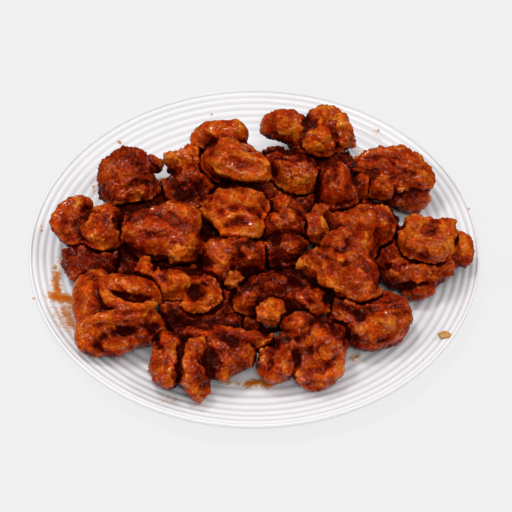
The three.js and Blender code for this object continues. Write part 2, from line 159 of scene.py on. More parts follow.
class Graph:
    """Builds one node tree, for a material or for Geometry Nodes."""

    def __init__(self, tree: bpy.types.NodeTree) -> None:
        """Starts on an empty tree."""
        self.tree = tree
        tree.nodes.clear()

    def node(self, kind: str, settings: dict | None = None, inputs: dict | None = None, output: object = 0) -> Link:
        """Adds one node.

        Args:
            kind: The node's type name.
            settings: Its properties, set first. "stops" sets a ramp's (place, colour) stops.
            inputs: Values or links for its sockets, by name or number.
            output: Name or number of the output that is returned.

        Returns:
            The chosen output as a link.
        """
        made = self.tree.nodes.new(kind)
        for name, value in (settings or {}).items():
            if name == "stops":
                self._set_stops(made.color_ramp, value)
            else:
                setattr(made, name, value)
        self.feed(made, inputs or {})
        return Link(self, made.outputs[output])

    def feed(self, node: bpy.types.Node, inputs: dict) -> None:
        """Links what varies into a node's sockets, and sets the rest on them.

        Args:
            node: The node.
            inputs: Links or values, by the sockets' names or numbers.
        """
        for key, value in inputs.items():
            if isinstance(value, Link):
                self.tree.links.new(value.socket, node.inputs[key])
            else:
                node.inputs[key].default_value = value

    @staticmethod
    def _set_stops(ramp: bpy.types.ColorRamp, stops: tuple) -> None:
        """Gives a colour ramp its stops, as (place, (r, g, b)) pairs in order."""
        while len(ramp.elements) < len(stops):
            ramp.elements.new(1.0)
        for element, (place, colour) in zip(ramp.elements, stops):
            element.position = place
            element.color = (*colour, 1.0)

    def mixed(self, factor: object, first: object, second: object, blend: str = "MIX") -> Link:
        """Mixes two colours.

        Args:
            factor: How much of the second colour shows.
            first: The first colour, as a link or an RGBA tuple.
            second: The second colour.
            blend: The Mix node's blend type.

        Returns:
            The mixed colour.
        """
        settings = {"data_type": "RGBA", "blend_type": blend}
        return self.node("ShaderNodeMix", settings, {0: factor, 6: first, 7: second}, output=2)

    def noise(self, place: Link, scale: float, detail: float) -> Link:
        """Adds a noise pattern.

        Args:
            place: Where it is read.
            scale: Its scale, per metre.
            detail: Its octaves.

        Returns:
            The pattern, mostly 0.3 to 0.7.
        """
        return self.node("ShaderNodeTexNoise", {}, {"Vector": place, "Scale": scale, "Detail": detail})

    def vector(self, operation: str, first: Link, second: object) -> Link:
        """Adds a Vector Math node on two vectors."""
        return self.node("ShaderNodeVectorMath", {"operation": operation}, {0: first, 1: second})

    def scaled(self, vector: Link, factor: object) -> Link:
        """Multiplies a vector by a number."""
        return self.node("ShaderNodeVectorMath", {"operation": "SCALE"}, {0: vector, "Scale": factor})

    def combined(self, x: object, y: object, z: object) -> Link:
        """Makes a vector of three numbers."""
        return self.node("ShaderNodeCombineXYZ", {}, {"X": x, "Y": y, "Z": z})

    def attribute(self, name: str) -> Link:
        """Reads in a material a number that the mesh holds at each point."""
        return self.node("ShaderNodeAttribute", {"attribute_name": name}, output="Fac")

    def held(self, name: str) -> Link:
        """Reads in Geometry Nodes a number that the geometry holds at each point."""
        return self.node("GeometryNodeInputNamedAttribute", {"data_type": "FLOAT"}, {"Name": name}, "Attribute")

    def stored(self, geometry: Link, name: str, value: object) -> Link:
        """Stores a number at each point of the geometry."""
        settings = {"data_type": "FLOAT", "domain": "POINT"}
        inputs = {"Geometry": geometry, "Name": name, "Value": value}
        return self.node("GeometryNodeStoreNamedAttribute", settings, inputs)


class NodesTree:
    """A Geometry Nodes tree with named inputs, which is run once on an object and then removed."""

    def __init__(self, name: str) -> None:
        """Makes an empty tree that takes and gives geometry."""
        self.group = bpy.data.node_groups.new(name, "GeometryNodeTree")
        self.graph = Graph(self.group)
        for way in ("INPUT", "OUTPUT"):
            self.group.interface.new_socket("Geometry", in_out=way, socket_type="NodeSocketGeometry")
        self.entry = self.group.nodes.new("NodeGroupInput")
        self.exit = self.group.nodes.new("NodeGroupOutput")
        self.identifiers: dict[str, str] = {}

    def values(self, kinds: dict[str, str]) -> dict[str, Link]:
        """Adds named inputs.

        Args:
            kinds: Each input's name, and the kind of value that it takes.

        Returns:
            The inputs as links, by name.
        """
        for name, kind in kinds.items():
            socket = self.group.interface.new_socket(name, in_out="INPUT", socket_type="NodeSocket" + kind)
            self.identifiers[name] = socket.identifier
        return {name: Link(self.graph, self.entry.outputs[name]) for name in kinds}

    def geometry(self) -> Link:
        """Gives the geometry that comes in."""
        return Link(self.graph, self.entry.outputs[0])

    def close(self, geometry: Link, material: Link) -> None:
        """Ends the tree in Realize Instances and Set Material."""
        plain = self.graph.node("GeometryNodeRealizeInstances", {}, {0: geometry})
        dressed = self.graph.node("GeometryNodeSetMaterial", {}, {"Geometry": plain, "Material": material})
        self.group.links.new(dressed.socket, self.exit.inputs[0])

    def run(self, thing: bpy.types.Object, values: dict) -> None:
        """Runs the tree on an object and leaves a plain mesh on it.

        Args:
            thing: The object to work on.
            values: The named inputs' values.
        """
        modifier = thing.modifiers.new(self.group.name, "NODES")
        modifier.node_group = self.group
        for name, value in values.items():
            modifier[self.identifiers[name]] = value
        depsgraph = bpy.context.evaluated_depsgraph_get()
        evaluated = thing.evaluated_get(depsgraph)
        plain = bpy.data.meshes.new_from_object(evaluated, preserve_all_data_layers=True, depsgraph=depsgraph)
        thing.modifiers.remove(modifier)
        thing.data = plain


# ---------------- lattice work


@dataclass
class Block:
    """Evenly spaced samples in a box. The corner is counted in steps of the pitch from the frame's origin.

    Attributes:
        corner: Lowest sample's place, in whole steps.
        values: The samples.
        pitch: Step between samples, in mm.
    """

    corner: np.ndarray
    values: np.ndarray
    pitch: float = LATTICE_PITCH

    def axes(self) -> list[np.ndarray]:
        """Gives the samples' places along x, y and z, in mm."""
        return [(self.corner[a] + np.arange(self.values.shape[a])) * self.pitch for a in range(3)]

    def sample(self, points: np.ndarray) -> np.ndarray:
        """Reads the block between its samples.

        Args:
            points: Places in mm, as rows.

        Returns:
            One value a row. Outside the block the nearest sample counts.
        """
        top = np.array(self.values.shape) - 1.001
        at = np.clip(points / self.pitch - self.corner, 0.0, top)
        low = at.astype(int)
        part = at - low
        total = np.zeros(len(points))
        for step in np.ndindex(2, 2, 2):
            share = np.prod(np.where(step, part, 1.0 - part), axis=1)
            total += share * self.values[tuple((low + step).T)]
        return total

    def slope(self, points: np.ndarray) -> np.ndarray:
        """Gives the direction in which the samples fall, as unit rows."""
        rows = []
        for axis in range(3):
            step = np.zeros(3)
            step[axis] = self.pitch
            rows.append(self.sample(points - step) - self.sample(points + step))
        fall = np.stack(rows, axis=1)
        return fall / np.maximum(np.linalg.norm(fall, axis=1, keepdims=True), 1e-6)

    def shared(self, other: "Block") -> tuple[tuple, tuple] | None:
        """Finds the part of this block that another one covers.

        Args:
            other: A block with the same pitch.

        Returns:
            The slices in this block and in the other, or None where they don't meet.
        """
        low = np.maximum(self.corner, other.corner)
        high = np.minimum(self.corner + self.values.shape, other.corner + other.values.shape)
        if np.any(high <= low):
            return None
        mine = tuple(slice(*pair) for pair in zip(low - self.corner, high - self.corner))
        theirs = tuple(slice(*pair) for pair in zip(low - other.corner, high - other.corner))
        return mine, theirs


def blurred(values: np.ndarray, spread: float) -> np.ndarray:
    """Blurs samples evenly along the three axes.

    Args:
        values: The samples.
        spread: Width of the blur, in steps.

    Returns:
        The blurred samples.
    """
    reach = int(math.ceil(BLUR_REACH * spread))
    weights = np.exp(-0.5 * (np.arange(-reach, reach + 1) / spread) ** 2)
    weights /= weights.sum()
    for axis in range(3):
        room = [(reach, reach) if a == axis else (0, 0) for a in range(3)]
        wide = np.pad(values, room)
        length = values.shape[axis]
        total = np.zeros_like(values)
        for start, weight in enumerate(weights):
            window = [slice(None)] * 3
            window[axis] = slice(start, start + length)
            total += weight * wide[tuple(window)]
        values = total
    return values


def solid_block(points: np.ndarray, faces: np.ndarray, margin: float) -> Block:
    """Samples how full each step of a lattice is of a closed solid.

    Args:
        points: The solid's points, in mm.
        faces: Its triangles, as rows of three point numbers, outwards.
        margin: Room round the solid, in mm.

    Returns:
        A block with 1 inside the solid and 0 outside.
    """
    pitch = LATTICE_PITCH
    low = np.floor((points.min(0) - margin) / pitch).astype(int)
    high = np.ceil((points.max(0) + margin) / pitch).astype(int)
    full = np.zeros(high - low + 1, np.float32)
    heights = (low[2] + np.arange(full.shape[2])) * pitch
    nudge = np.array(LATTICE_NUDGE)
    for a, b, c in points[faces]:
        twice = (b[0] - a[0]) * (c[1] - a[1]) - (b[1] - a[1]) * (c[0] - a[0])
        if abs(twice) < 1e-9:
            continue
        corners = np.stack((a, b, c))[:, :2] - nudge
        first = np.ceil(corners.min(0) / pitch).astype(int)
        last = np.floor(corners.max(0) / pitch).astype(int)
        if np.any(last < first):
            continue
        x = np.arange(first[0], last[0] + 1)[:, None] * pitch + nudge[0]
        y = np.arange(first[1], last[1] + 1)[None, :] * pitch + nudge[1]
        to_b = ((x - a[0]) * (c[1] - a[1]) - (y - a[1]) * (c[0] - a[0])) / twice
        to_c = ((b[0] - a[0]) * (y - a[1]) - (b[1] - a[1]) * (x - a[0])) / twice
        covered = (to_b >= 0) & (to_c >= 0) & (to_b + to_c <= 1)
        level = a[2] + to_b * (b[2] - a[2]) + to_c * (c[2] - a[2])
        above = np.clip((heights - level[:, :, None]) / pitch + 0.5, 0.0, 1.0)
        i, j = first[0] - low[0], first[1] - low[1]
        part = full[i : i + covered.shape[0], j : j + covered.shape[1]]
        part -= (math.copysign(1.0, twice) * covered)[:, :, None] * above
    return Block(low, np.clip(full, 0.0, 1.0))


def depth_of(share: np.ndarray) -> np.ndarray:
    """Turns a blurred solid's share into a depth under its skin.

    Args:
        share: Share of solid at each sample, from 0 to 1.

    Returns:
        Depth in mm, more than 0 inside, up to REACH either way.
    """
    safe = np.clip(share, 1e-4, 1 - 1e-4)
    return np.clip(ROUNDING / LOGISTIC * np.log(safe / (1 - safe)), -REACH, REACH)


def bell(distance: np.ndarray, spread: float) -> np.ndarray:
    """Gives 1 at no distance, and falls evenly to nearly 0 at twice the spread."""
    return np.exp(-((distance / spread) ** 2))


def soft_most(first: np.ndarray, second: np.ndarray, blend: float) -> np.ndarray:
    """Takes the larger of two values, rounded where they are close.

    Args:
        first: Values.
        second: Values.
        blend: How close they are where the rounding starts.

    Returns:
        The rounded larger values.
    """
    near = np.maximum(blend - np.abs(first - second), 0.0) / blend
    return np.maximum(first, second) + near * near * blend * 0.25


def soft_least(first: np.ndarray, second: np.ndarray, blend: float) -> np.ndarray:
    """Takes the smaller of two values, rounded where they are close."""
    return -soft_most(-first, -second, blend)


def skin_of(block: Block) -> tuple[np.ndarray, np.ndarray]:
    """Meshes the surface where a block's samples change sign.

    Args:
        block: Samples that are more than 0 inside.

    Returns:
        The points in mm, and the four-sided faces as rows of point numbers, outwards.
    """
    values = block.values
    cells = np.array(values.shape) - 1
    total = np.zeros((cells.prod(), 3))
    count = np.zeros(cells.prod())
    rings = []
    for axis in range(3):
        one, two = (axis + 1) % 3, (axis + 2) % 3
        low = [slice(0, -1) if a == axis else slice(1, -1) for a in range(3)]
        high = [slice(1, None) if a == axis else slice(1, -1) for a in range(3)]
        start, end = values[tuple(low)], values[tuple(high)]
        crossing = np.argwhere((start > 0) != (end > 0))
        inside_first = start[tuple(crossing.T)] > 0
        part = start[tuple(crossing.T)] / (start[tuple(crossing.T)] - end[tuple(crossing.T)])
        base = crossing.copy()
        base[:, one] += 1
        base[:, two] += 1
        place = base.astype(float)
        place[:, axis] += part
        ring = []
        for back_one, back_two in ((1, 1), (0, 1), (0, 0), (1, 0)):
            cell = base.copy()
            cell[:, one] -= back_one
            cell[:, two] -= back_two
            number = np.ravel_multi_index(tuple(cell.T), tuple(cells))
            ring.append(number)
            for a in range(3):
                total[:, a] += np.bincount(number, place[:, a], len(count))
            count += np.bincount(number, minlength=len(count))
        ring = np.stack(ring, axis=1)
        ring[~inside_first] = ring[~inside_first][:, ::-1]
        rings.append(ring)
    used = np.flatnonzero(count)
    order = np.zeros(len(count), int)
    order[used] = np.arange(len(used))
    points = (total[used] / count[used, None] + block.corner) * block.pitch
    return points, order[np.concatenate(rings)]


# ---------------- the view


@dataclass(frozen=True)
class Sight:
    """The camera. Paths on the heap are measured across and up the plane that faces it through the dish.

    Attributes:
        elevation: Angle above the table, in degrees.
        distance: From the lens to the target.
        target: Point the camera looks at.
        lens: Its focal length.
        frame: Width of the frame behind it.
    """

    elevation: float = 48.66
    distance: float = 800.0
    target: tuple[float, float, float] = (1.01, -2.75, 0.0)
    lens: float = 92.5
    frame: float = 36.0

    def ahead(self) -> np.ndarray:
        """Gives the direction the camera looks in."""
        slope = math.radians(self.elevation)
        return np.array([0.0, math.cos(slope), -math.sin(slope)])

    def rise(self) -> np.ndarray:
        """Gives the direction that is up in the picture."""
        slope = math.radians(self.elevation)
        return np.array([0.0, math.sin(slope), math.cos(slope)])

    def eye(self) -> np.ndarray:
        """Gives the camera's place, in mm."""
        return np.array(self.target) - self.distance * self.ahead()

    def line(self, across: float, up: float) -> tuple[np.ndarray, np.ndarray]:
        """Gives the sight line through a point of the plane.

        Args:
            across: mm to the right of the target.
            up: mm above the target.

        Returns:
            The eye, and the unit direction of the line.
        """
        through = np.array(self.target) + np.array([across, 0.0, 0.0]) + up * self.rise()
        way = through - self.eye()
        return self.eye(), way / np.linalg.norm(way)

    def seen(self, points: np.ndarray) -> np.ndarray:
        """Gives where the sight lines through points cross the plane, in mm across and up it."""
        way = points - self.eye()
        share = self.distance / (way @ self.ahead())
        return np.stack((way[:, 0], way @ self.rise()), axis=1) * share[:, None]

    def build(self) -> None:
        """Makes the camera and gives it to the scene."""
        data = bpy.data.cameras.new("table_camera")
        data.lens = self.lens
        data.sensor_width = self.frame
        camera = bpy.data.objects.new("table_camera", data)
        camera.location = Vector(self.eye()) * MM
        camera.rotation_euler = (math.radians(90.0 - self.elevation), 0.0, 0.0)
        bpy.context.scene.collection.objects.link(camera)
        bpy.context.scene.camera = camera


SIGHT = Sight()


# ---------------- finishes


@dataclass(frozen=True)
class SauceFinish:
    """Fried crust under a sticky chilli sauce: near black in the slits, red-brown, then orange on what stands out.
    The dark in the slits is painted shade; the orange on what stands out is the sauce's colour raised by painted
    light.

    Attributes:
        name: The material's name.
        stops: Its colours from tone 0 to 1, as (tone, colour) pairs.
        chilli: What the redder patches multiply them by.
        patches: Scale of its bright and dark patches, and what they do to the tone.
        specks: The same for its specks.
        fibres: The same for its fibres, with a scale for each axis.
        crust: What the crust's lumps do to the tone.
        redness: Scale, start, end and strength of the redder patches.
        wetness: The same for the wetter ones.
        bubbles: Scale of the small bubbles in the crust.
        relief: Weights of specks, bubbles and fibres in the fine relief.
        relief_depth: Its strength and depth.
        gloss: What the tone adds to the coat, and what the coat is without it.
        roughness: Under the coat.
        coat_roughness: Of the coat.
        coat_ior: Of the coat.
    """

    name: str = "sauced_crust"
    stops: tuple = (
        (0.00, (0.036, 0.0017, 0.0005)),
        (0.16, (0.090, 0.0045, 0.0006)),
        (0.36, (0.200, 0.0140, 0.0008)),
        (0.58, (0.325, 0.0320, 0.0016)),
        (0.80, (0.480, 0.0760, 0.0032)),
        (1.00, (0.680, 0.1800, 0.0120)),
    )
    chilli: tuple = (1.06, 0.58, 0.42, 1.0)
    patches: tuple = (135.0, 1.00)
    specks: tuple = (820.0, 0.90)
    fibres: tuple = ((240.0, 760.0, 480.0), 0.30)
    crust: float = 0.22
    redness: tuple = (160.0, 0.44, 0.58, 0.85)
    wetness: tuple = (120.0, 0.38, 0.56, 0.80)
    bubbles: float = 700.0
    relief: tuple = (0.70, 0.45, 0.45)
    relief_depth: tuple = (0.7, 0.0007)
    gloss: tuple = (1.40, 0.06)
    roughness: float = 0.36
    coat_roughness: float = 0.09
    coat_ior: float = 1.5

    def build(self) -> bpy.types.Material:
        """Makes the material from the tone, crust and thick sauce that the meshes hold.

        Returns:
            The material.
        """
        material, graph, shader = new_surface(self.name)
        place = graph.node("ShaderNodeTexCoord", output="Object")
        patches = graph.noise(place, self.patches[0], 3.0)
        specks = graph.noise(place, self.specks[0], 3.0)
        fibres = graph.noise(graph.vector("MULTIPLY", place, self.fibres[0]), 1.0, 2.0)
        # The tone brings painted light and shade; patches, specks and fibres vary it at random.
        level = graph.attribute("tone") + (patches - 0.5) * self.patches[1] + (specks - 0.5) * self.specks[1]
        level = (level + graph.attribute("crust") * self.crust + (fibres - 0.5) * self.fibres[1]).clamped()
        plain = graph.node("ShaderNodeValToRGB", {"stops": self.stops}, {0: level})
        scale, start, end, strength = self.redness
        redder = graph.noise(place, scale, 3.0).part_of(start, end) * strength
        scale, start, end, strength = self.wetness
        wet = (graph.noise(place, scale, 2.0).part_of(start, end) * strength + graph.attribute("wet")).clamped()
        cells = {"Vector": place, "Scale": self.bubbles}
        bubbles = graph.node("ShaderNodeTexVoronoi", {"feature": "SMOOTH_F1"}, cells)
        relief = specks * self.relief[0] + (0.6 - bubbles) * self.relief[1] + fibres * self.relief[2]
        strength, depth = self.relief_depth
        bump = {"Strength": strength, "Distance": depth, "Height": relief}
        graph.feed(shader, {
            "Base Color": graph.mixed(redder, plain, self.chilli, "MULTIPLY"),
            "Roughness": self.roughness + (specks - 0.5) * 0.3 - wet * 0.10,
            "Coat Weight": wet * (level * self.gloss[0] + self.gloss[1]),
            "Normal": graph.node("ShaderNodeBump", {}, bump),
            "Coat Roughness": self.coat_roughness,
            "Coat IOR": self.coat_ior,
            "Specular IOR Level": 0.10,
            "Specular Tint": (1.0, 0.4, 0.15, 1.0),
        })
        return material


@dataclass(frozen=True)
class GlazeFinish:
    """White glazed ware with a faint cool painted shade in the grooves between the ribs.

    Attributes:
        name: The material's name.
        white: Colour of the ribs and the flat middle.
        groove: Colour of the painted shade in the grooves.
        cast: How much of it shows there.
        cloud: Scale of its slow changes, and what they do to colour and roughness.
        ripple: Strength and depth of its relief.
        roughness: Of the glaze.
    """

    name: str = "white_plate_glaze"
    white: tuple = (0.940, 0.932, 0.945, 1.0)
    groove: tuple = (0.690, 0.680, 0.715, 1.0)
    cast: float = 0.62
    cloud: tuple = (22.0, 0.08)
    ripple: tuple = (0.05, 0.0004)
    roughness: float = 0.22

    def build(self) -> bpy.types.Material:
        """Makes the material from the groove depth that the mesh holds.

        Returns:
            The material.
        """
        material, graph, shader = new_surface(self.name)
        cloud = graph.noise(graph.node("ShaderNodeTexCoord", output="Object"), self.cloud[0], 2.0)
        change = (cloud - 0.5) * self.cloud[1]
        # Painted shade in the grooves.
        shaded = (graph.attribute("groove") * self.cast + change).clamped()
        strength, depth = self.ripple
        graph.feed(shader, {
            "Base Color": graph.mixed(shaded, self.white, self.groove),
            "Roughness": self.roughness + change,
            "Normal": graph.node("ShaderNodeBump", {}, {"Strength": strength, "Distance": depth, "Height": cloud}),
            "Specular IOR Level": 0.35,
        })
        return material


@dataclass(frozen=True)
class SmearFinish:
    """Thin orange-brown sauce on white ware, clear where it is thinnest.

    Attributes:
        name: The material's name.
        thick: Colour where it is thick.
        thin: Colour where it is thin.
        full: Thickness from which it is no longer clear.
        clear: Thickness up to which it isn't seen.
        opacity: How much of the ware it hides at most.
        film: What the film's own thickness counts for.
        blots: Scale of its blots, what they count for, and how much less in a full film.
        roughness: Roughness without blots, and what they add.
    """

    name: str = "thin_sauce"
    thick: tuple = (0.600, 0.125, 0.001, 1.0)
    thin: tuple = (1.000, 0.490, 0.090, 1.0)
    full: float = 1.05
    clear: float = 0.04
    opacity: float = 0.95
    film: float = 0.9
    blots: tuple = (520.0, 1.7, 0.35)
    roughness: tuple = (0.30, 0.15)

    def build(self) -> bpy.types.Material:
        """Makes the material from the film's share of its full thickness, which the mesh holds.

        Returns:
            The material.
        """
        material, graph, shader = new_surface(self.name)
        film = graph.attribute("film")
        scale, weight, fading = self.blots
        blots = graph.noise(graph.node("ShaderNodeTexCoord", output="Object"), scale, 6.0)
        body = (film * self.film + (blots - 0.5) * weight * (1.0 - film * fading)).clamped()
        graph.feed(shader, {
            "Base Color": graph.mixed(body, self.thin, self.thick),
            "Alpha": body.part_of(self.clear, self.full) * self.opacity,
            "Roughness": self.roughness[0] + blots * self.roughness[1],
            "Specular IOR Level": 0.2,
        })
        return material


GOLDEN_CRUST = SmearFinish("golden_crust", (0.400, 0.150, 0.020, 1.0), (0.820, 0.470, 0.160, 1.0), 0.10)


def new_surface(name: str) -> tuple[bpy.types.Material, Graph, bpy.types.ShaderNode]:
    """Starts a material with one principled shader.

    Args:
        name: The material's name.

    Returns:
        The material, its graph and the shader node.
    """
    material = bpy.data.materials.new(name)
    material.use_nodes = True
    graph = Graph(material.node_tree)
    output = material.node_tree.nodes.new("ShaderNodeOutputMaterial")
    shader = material.node_tree.nodes.new("ShaderNodeBsdfPrincipled")
    material.node_tree.links.new(shader.outputs[0], output.inputs[0])
    return material, graph, shader


# ---------------- the plate


@dataclass(frozen=True)
class PlateShape:
    """The plate's section. The rim curves up evenly, and fine grooves part the low ribs on it.

    Attributes:
        radius: Of the whole plate.
        floor: Height of the flat middle.
        rim_start: Radius where the rim leaves the floor.
        rim_rise: How far the rim climbs.
        rim_curve: Power of its curve.
        thickness: Of the ware.
        edge: Radius of the rounded edge.
        first_groove: Radius of the innermost full groove.
        pitch_inner: Step from it to the next one.
        pitch_loss: How much each step is less than the one before.
        groove_depth: Depth of the grooves.
        groove_sharpness: How narrow they are against the ribs, from 1.
        foot_radius: Of the foot ring, at its middle.
        foot_width: Of the foot ring.
    """

    POWERS: ClassVar[tuple[str, ...]] = ("rim_curve", "groove_sharpness")

    radius: float = 135.0
    floor: float = 5.0
    rim_start: float = 104.0
    rim_rise: float = 8.0
    rim_curve: float = 1.8
    thickness: float = 3.2
    edge: float = 1.1
    first_groove: float = 104.3
    pitch_inner: float = 6.2
    pitch_loss: float = 0.47
    groove_depth: float = 0.55
    groove_sharpness: float = 1.4
    foot_radius: float = 86.0
    foot_width: float = 5.0

    def top(self, radius: np.ndarray) -> np.ndarray:
        """Gives the height of the top between the grooves.

        Args:
            radius: Distance from the middle.

        Returns:
            Height above the table.
        """
        climb = np.maximum(radius - self.rim_start, 0.0) / (self.radius - self.rim_start)
        return self.floor + self.rim_rise * climb**self.rim_curve


PLATE = PlateShape()


def input_name(field_name: str) -> str:
    """Turns a size's name into the name of the tree's input for it."""
    return field_name.replace("_", " ").capitalize()


class PlateTree:
    """The Geometry Nodes tree that turns the plate from flat strips of mesh.

    Attributes:
        STEPS: Mesh steps along the top, the rounded edge and the underside.
        CROWDING: Power by which the top's steps crowd towards the rim.
        FADE_IN: Where the first groove fades in before the rim, in groove steps.
        FADE_OUT: Where the last one fades out before the edge.
        FOOT_FLANK: Start and end of the foot ring's flanks, in its widths.
        MERGING: How close points are that become one, in metres.
    """

    STEPS = (180, 9, 90)
    CROWDING = 1.6
    FADE_IN = (-1.5, -0.2)
    FADE_OUT = (0.18, 0.30)
    FOOT_FLANK = (0.38, 0.62)
    MERGING = 2e-6

    def __init__(self) -> None:
        """Builds the tree: top, rounded edge and underside are strips of one tube, joined."""
        self.nodes = NodesTree("turned_plate")
        kinds = {input_name(size.name): "Float" for size in fields(PlateShape)}
        self.size = self.nodes.values(kinds | {"Turn steps": "Int", "Glaze": "Material"})
        self.rim_end = self.size["Radius"] - self.size["Edge"]
        strips = [self._top(), self._rounded_edge(), self._underside()]
        graph = self.nodes.graph
        join = graph.tree.nodes.new("GeometryNodeJoinGeometry")
        for strip in strips:
            graph.tree.links.new(strip.socket, join.inputs[0])
        doubled = {"Geometry": Link(graph, join.outputs[0]), "Distance": self.MERGING}
        merged = graph.node("GeometryNodeMergeByDistance", {}, doubled)
        smooth = graph.node("GeometryNodeSetShadeSmooth", {}, {"Geometry": merged})
        self.nodes.close(smooth, self.size["Glaze"])

    def _strip(self, steps: int, radius_of: Callable, height_of: Callable, groove_of: Callable) -> Link:
        """Turns one strip of the section.

        Args:
            steps: Mesh steps along the section.
            radius_of: Gives the radius for a part of the way, from 0 to 1.
            height_of: Gives the height for the part of the way and the radius.
            groove_of: Gives the groove share for the radius.

        Returns:
            The strip's geometry.
        """
        graph = self.nodes.graph
        sizes = {"Size X": 1.0, "Size Y": 1.0, "Vertices X": self.size["Turn steps"], "Vertices Y": steps}
        grid = graph.node("GeometryNodeMeshGrid", {}, sizes)
        here = graph.node("GeometryNodeInputPosition")
        across, onwards = (graph.node("ShaderNodeSeparateXYZ", {}, {0: here}, axis) for axis in "XY")
        turn = (0.5 - across) * math.tau
        along = onwards + 0.5
        radius = radius_of(along)
        groove = groove_of(radius)
        height = height_of(along, radius) - groove * self.size["Groove depth"]
        place = graph.combined(radius * turn.cosine(), radius * turn.sine(), height)
        marked = graph.stored(grid, "groove", groove)
        return graph.node("GeometryNodeSetPosition", {}, {"Geometry": marked, "Position": place})

    def _rim(self, radius: Link) -> Link:
        """Gives the height of the rim's top at a radius, without its grooves."""
        climb = (radius - self.size["Rim start"]).at_least(0.0) / (self.size["Radius"] - self.size["Rim start"])
        return self.size["Floor"] + self.size["Rim rise"] * climb**self.size["Rim curve"]

    def _groove(self, radius: Link) -> Link:
        """Gives how deep in a groove a radius is, from 0 to 1. The step between grooves lessens towards the edge."""
        pitch, loss = self.size["Pitch inner"], self.size["Pitch loss"]
        past = radius - self.size["First groove"]
        number = (pitch - (pitch * pitch - loss * past * 2.0).at_least(0.0).root()) / loss
        wave = ((number * math.tau).cosine() * 0.5 + 0.5) ** self.size["Groove sharpness"]
        fade_in = ((radius - self.size["Rim start"]) / pitch).part_of(*self.FADE_IN)
        fade_out = ((self.size["Radius"] - radius) / pitch).part_of(*self.FADE_OUT)
        return wave * fade_in * fade_out

    def _top(self) -> Link:
        """Turns the top, from the middle to the edge."""
        return self._strip(
            self.STEPS[0],
            lambda along: self.rim_end * (1.0 - (1.0 - along) ** self.CROWDING),
            lambda along, radius: self._rim(radius),
            self._groove,
        )

    def _rounded_edge(self) -> Link:
        """Turns the rounded edge, from the top to the underside."""
        half = self.size["Thickness"] * 0.5

        def bend(along: Link) -> Link:
            """Gives the angle round the edge."""
            return (along - 0.5) * math.pi

        return self._strip(
            self.STEPS[1],
            lambda along: self.rim_end + self.size["Edge"] * bend(along).cosine(),
            lambda along, radius: self._rim(self.rim_end) - half - bend(along).sine() * half,
            lambda radius: radius * 0.0,
        )

    def _underside(self) -> Link:
        """Turns the underside with its foot ring, from the edge to the middle."""
        def foot(radius: Link) -> Link:
            """Gives the foot ring's share at a radius."""
            off = (radius - self.size["Foot radius"]).absolute() / self.size["Foot width"]
            return 1.0 - off.part_of(*self.FOOT_FLANK)

        return self._strip(
            self.STEPS[2],
            lambda along: self.rim_end * (1.0 - along),
            lambda along, radius: (self._rim(radius) - self.size["Thickness"]) * (1.0 - foot(radius)),
            lambda radius: radius * 0.0,
        )


@dataclass
class Plate:
    """The round plate, turned smooth."""

    shape: PlateShape = PLATE
    turn_steps: int = 288

    def build(self, glaze: bpy.types.Material) -> bpy.types.Object:
        """Turns the plate.

        Args:
            glaze: Its material.

        Returns:
            The finished plate.
        """
        thing = new_object("ribbed_plate", [], [])
        values = {"Turn steps": self.turn_steps, "Glaze": glaze}
        for name, size in asdict(self.shape).items():
            values[input_name(name)] = size if name in PlateShape.POWERS else size * MM
        PlateTree().nodes.run(thing, values)
        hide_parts("plate")
        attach(thing, "root")
        return thing


def new_object(name: str, points: object, faces: object) -> bpy.types.Object:
    """Makes an object from points in metres.

    Args:
        name: Its name.
        points: Its points, as rows.
        faces: Its faces, as rows of point numbers.

    Returns:
        The object, in the scene.
    """
    mesh = bpy.data.meshes.new(name)
    mesh.from_pydata([tuple(p) for p in points], [], [tuple(f) for f in faces])
    mesh.update()
    thing = bpy.data.objects.new(name, mesh)
    bpy.context.scene.collection.objects.link(thing)
    return thing


# ---------------- the heap


class Relief(Enum):
    """What a stroke does to the skin."""

    RIDGE = "stands out of it"
    SLIT = "is cut into it"
    TINT = "only colours it"
    GLAZE = "lies on it as thick sauce"


class Batter(Enum):
    """How rough a piece's crust is: lump height, lump size, grain height, wave height and fold height, in mm."""

    SMOOTH = (0.16, 4.5, 0.14, 0.55, 0.40)
    CRISP = (0.42, 3.6, 0.30, 1.4, 1.00)
    CRAGGY = (0.75, 3.2, 0.42, 1.6, 1.25)


@dataclass(frozen=True)
class Stroke:
    """A fold, a slit, a lump or a patch of colour on a piece of chicken.

    Attributes:
        relief: What it does to the skin.
        width: Its width.
        rise: How far it stands out of the skin, or is cut into it.
        tone: How much brighter it is than the skin round it.
        path: Points along it, in mm across and up the sight plane.
    """

    relief: Relief
    width: float
    rise: float
    tone: float
    path: tuple[tuple[float, float], ...]


def ridge(width: float, rise: float, tone: float, *path: tuple[float, float]) -> Stroke:
    """Describes a fold, a rolled lip or a lump that stands out."""
    return Stroke(Relief.RIDGE, width, rise, tone, path)


def slit(width: float, depth: float, tone: float, *path: tuple[float, float]) -> Stroke:
    """Describes a crease, a slit or a hollow, with painted shade from its dark tone."""
    return Stroke(Relief.SLIT, width, depth, tone, path)


def tint(width: float, tone: float, *path: tuple[float, float]) -> Stroke:
    """Describes a patch that is only brighter or darker."""
    return Stroke(Relief.TINT, width, 0.0, tone, path)


def glaze(width: float, *path: tuple[float, float]) -> Stroke:
    """Describes a patch of thick, glossy sauce."""
    return Stroke(Relief.GLAZE, width, 0.0, 1.0, path)


@dataclass(frozen=True)
class Morsel:
    """One piece of chicken.

    Attributes:
        name: The node's name without its first word.
        tone: How bright its sauce is, from 0 to 1; a low tone on a piece under others is painted shade.
        strokes: What is worked into its skin, in order.
        batter: How rough its crust is.
    """

    name: str
    tone: float
    strokes: tuple[Stroke, ...] = ()
    batter: Batter = Batter.CRISP

    def slot(self) -> str:
        """Names the slot for the piece's tone."""
        if self.tone >= BRIGHT_TONE:
            return "sauce_bright"
        return "sauce_mid" if self.tone >= MID_TONE else "sauce_dark"
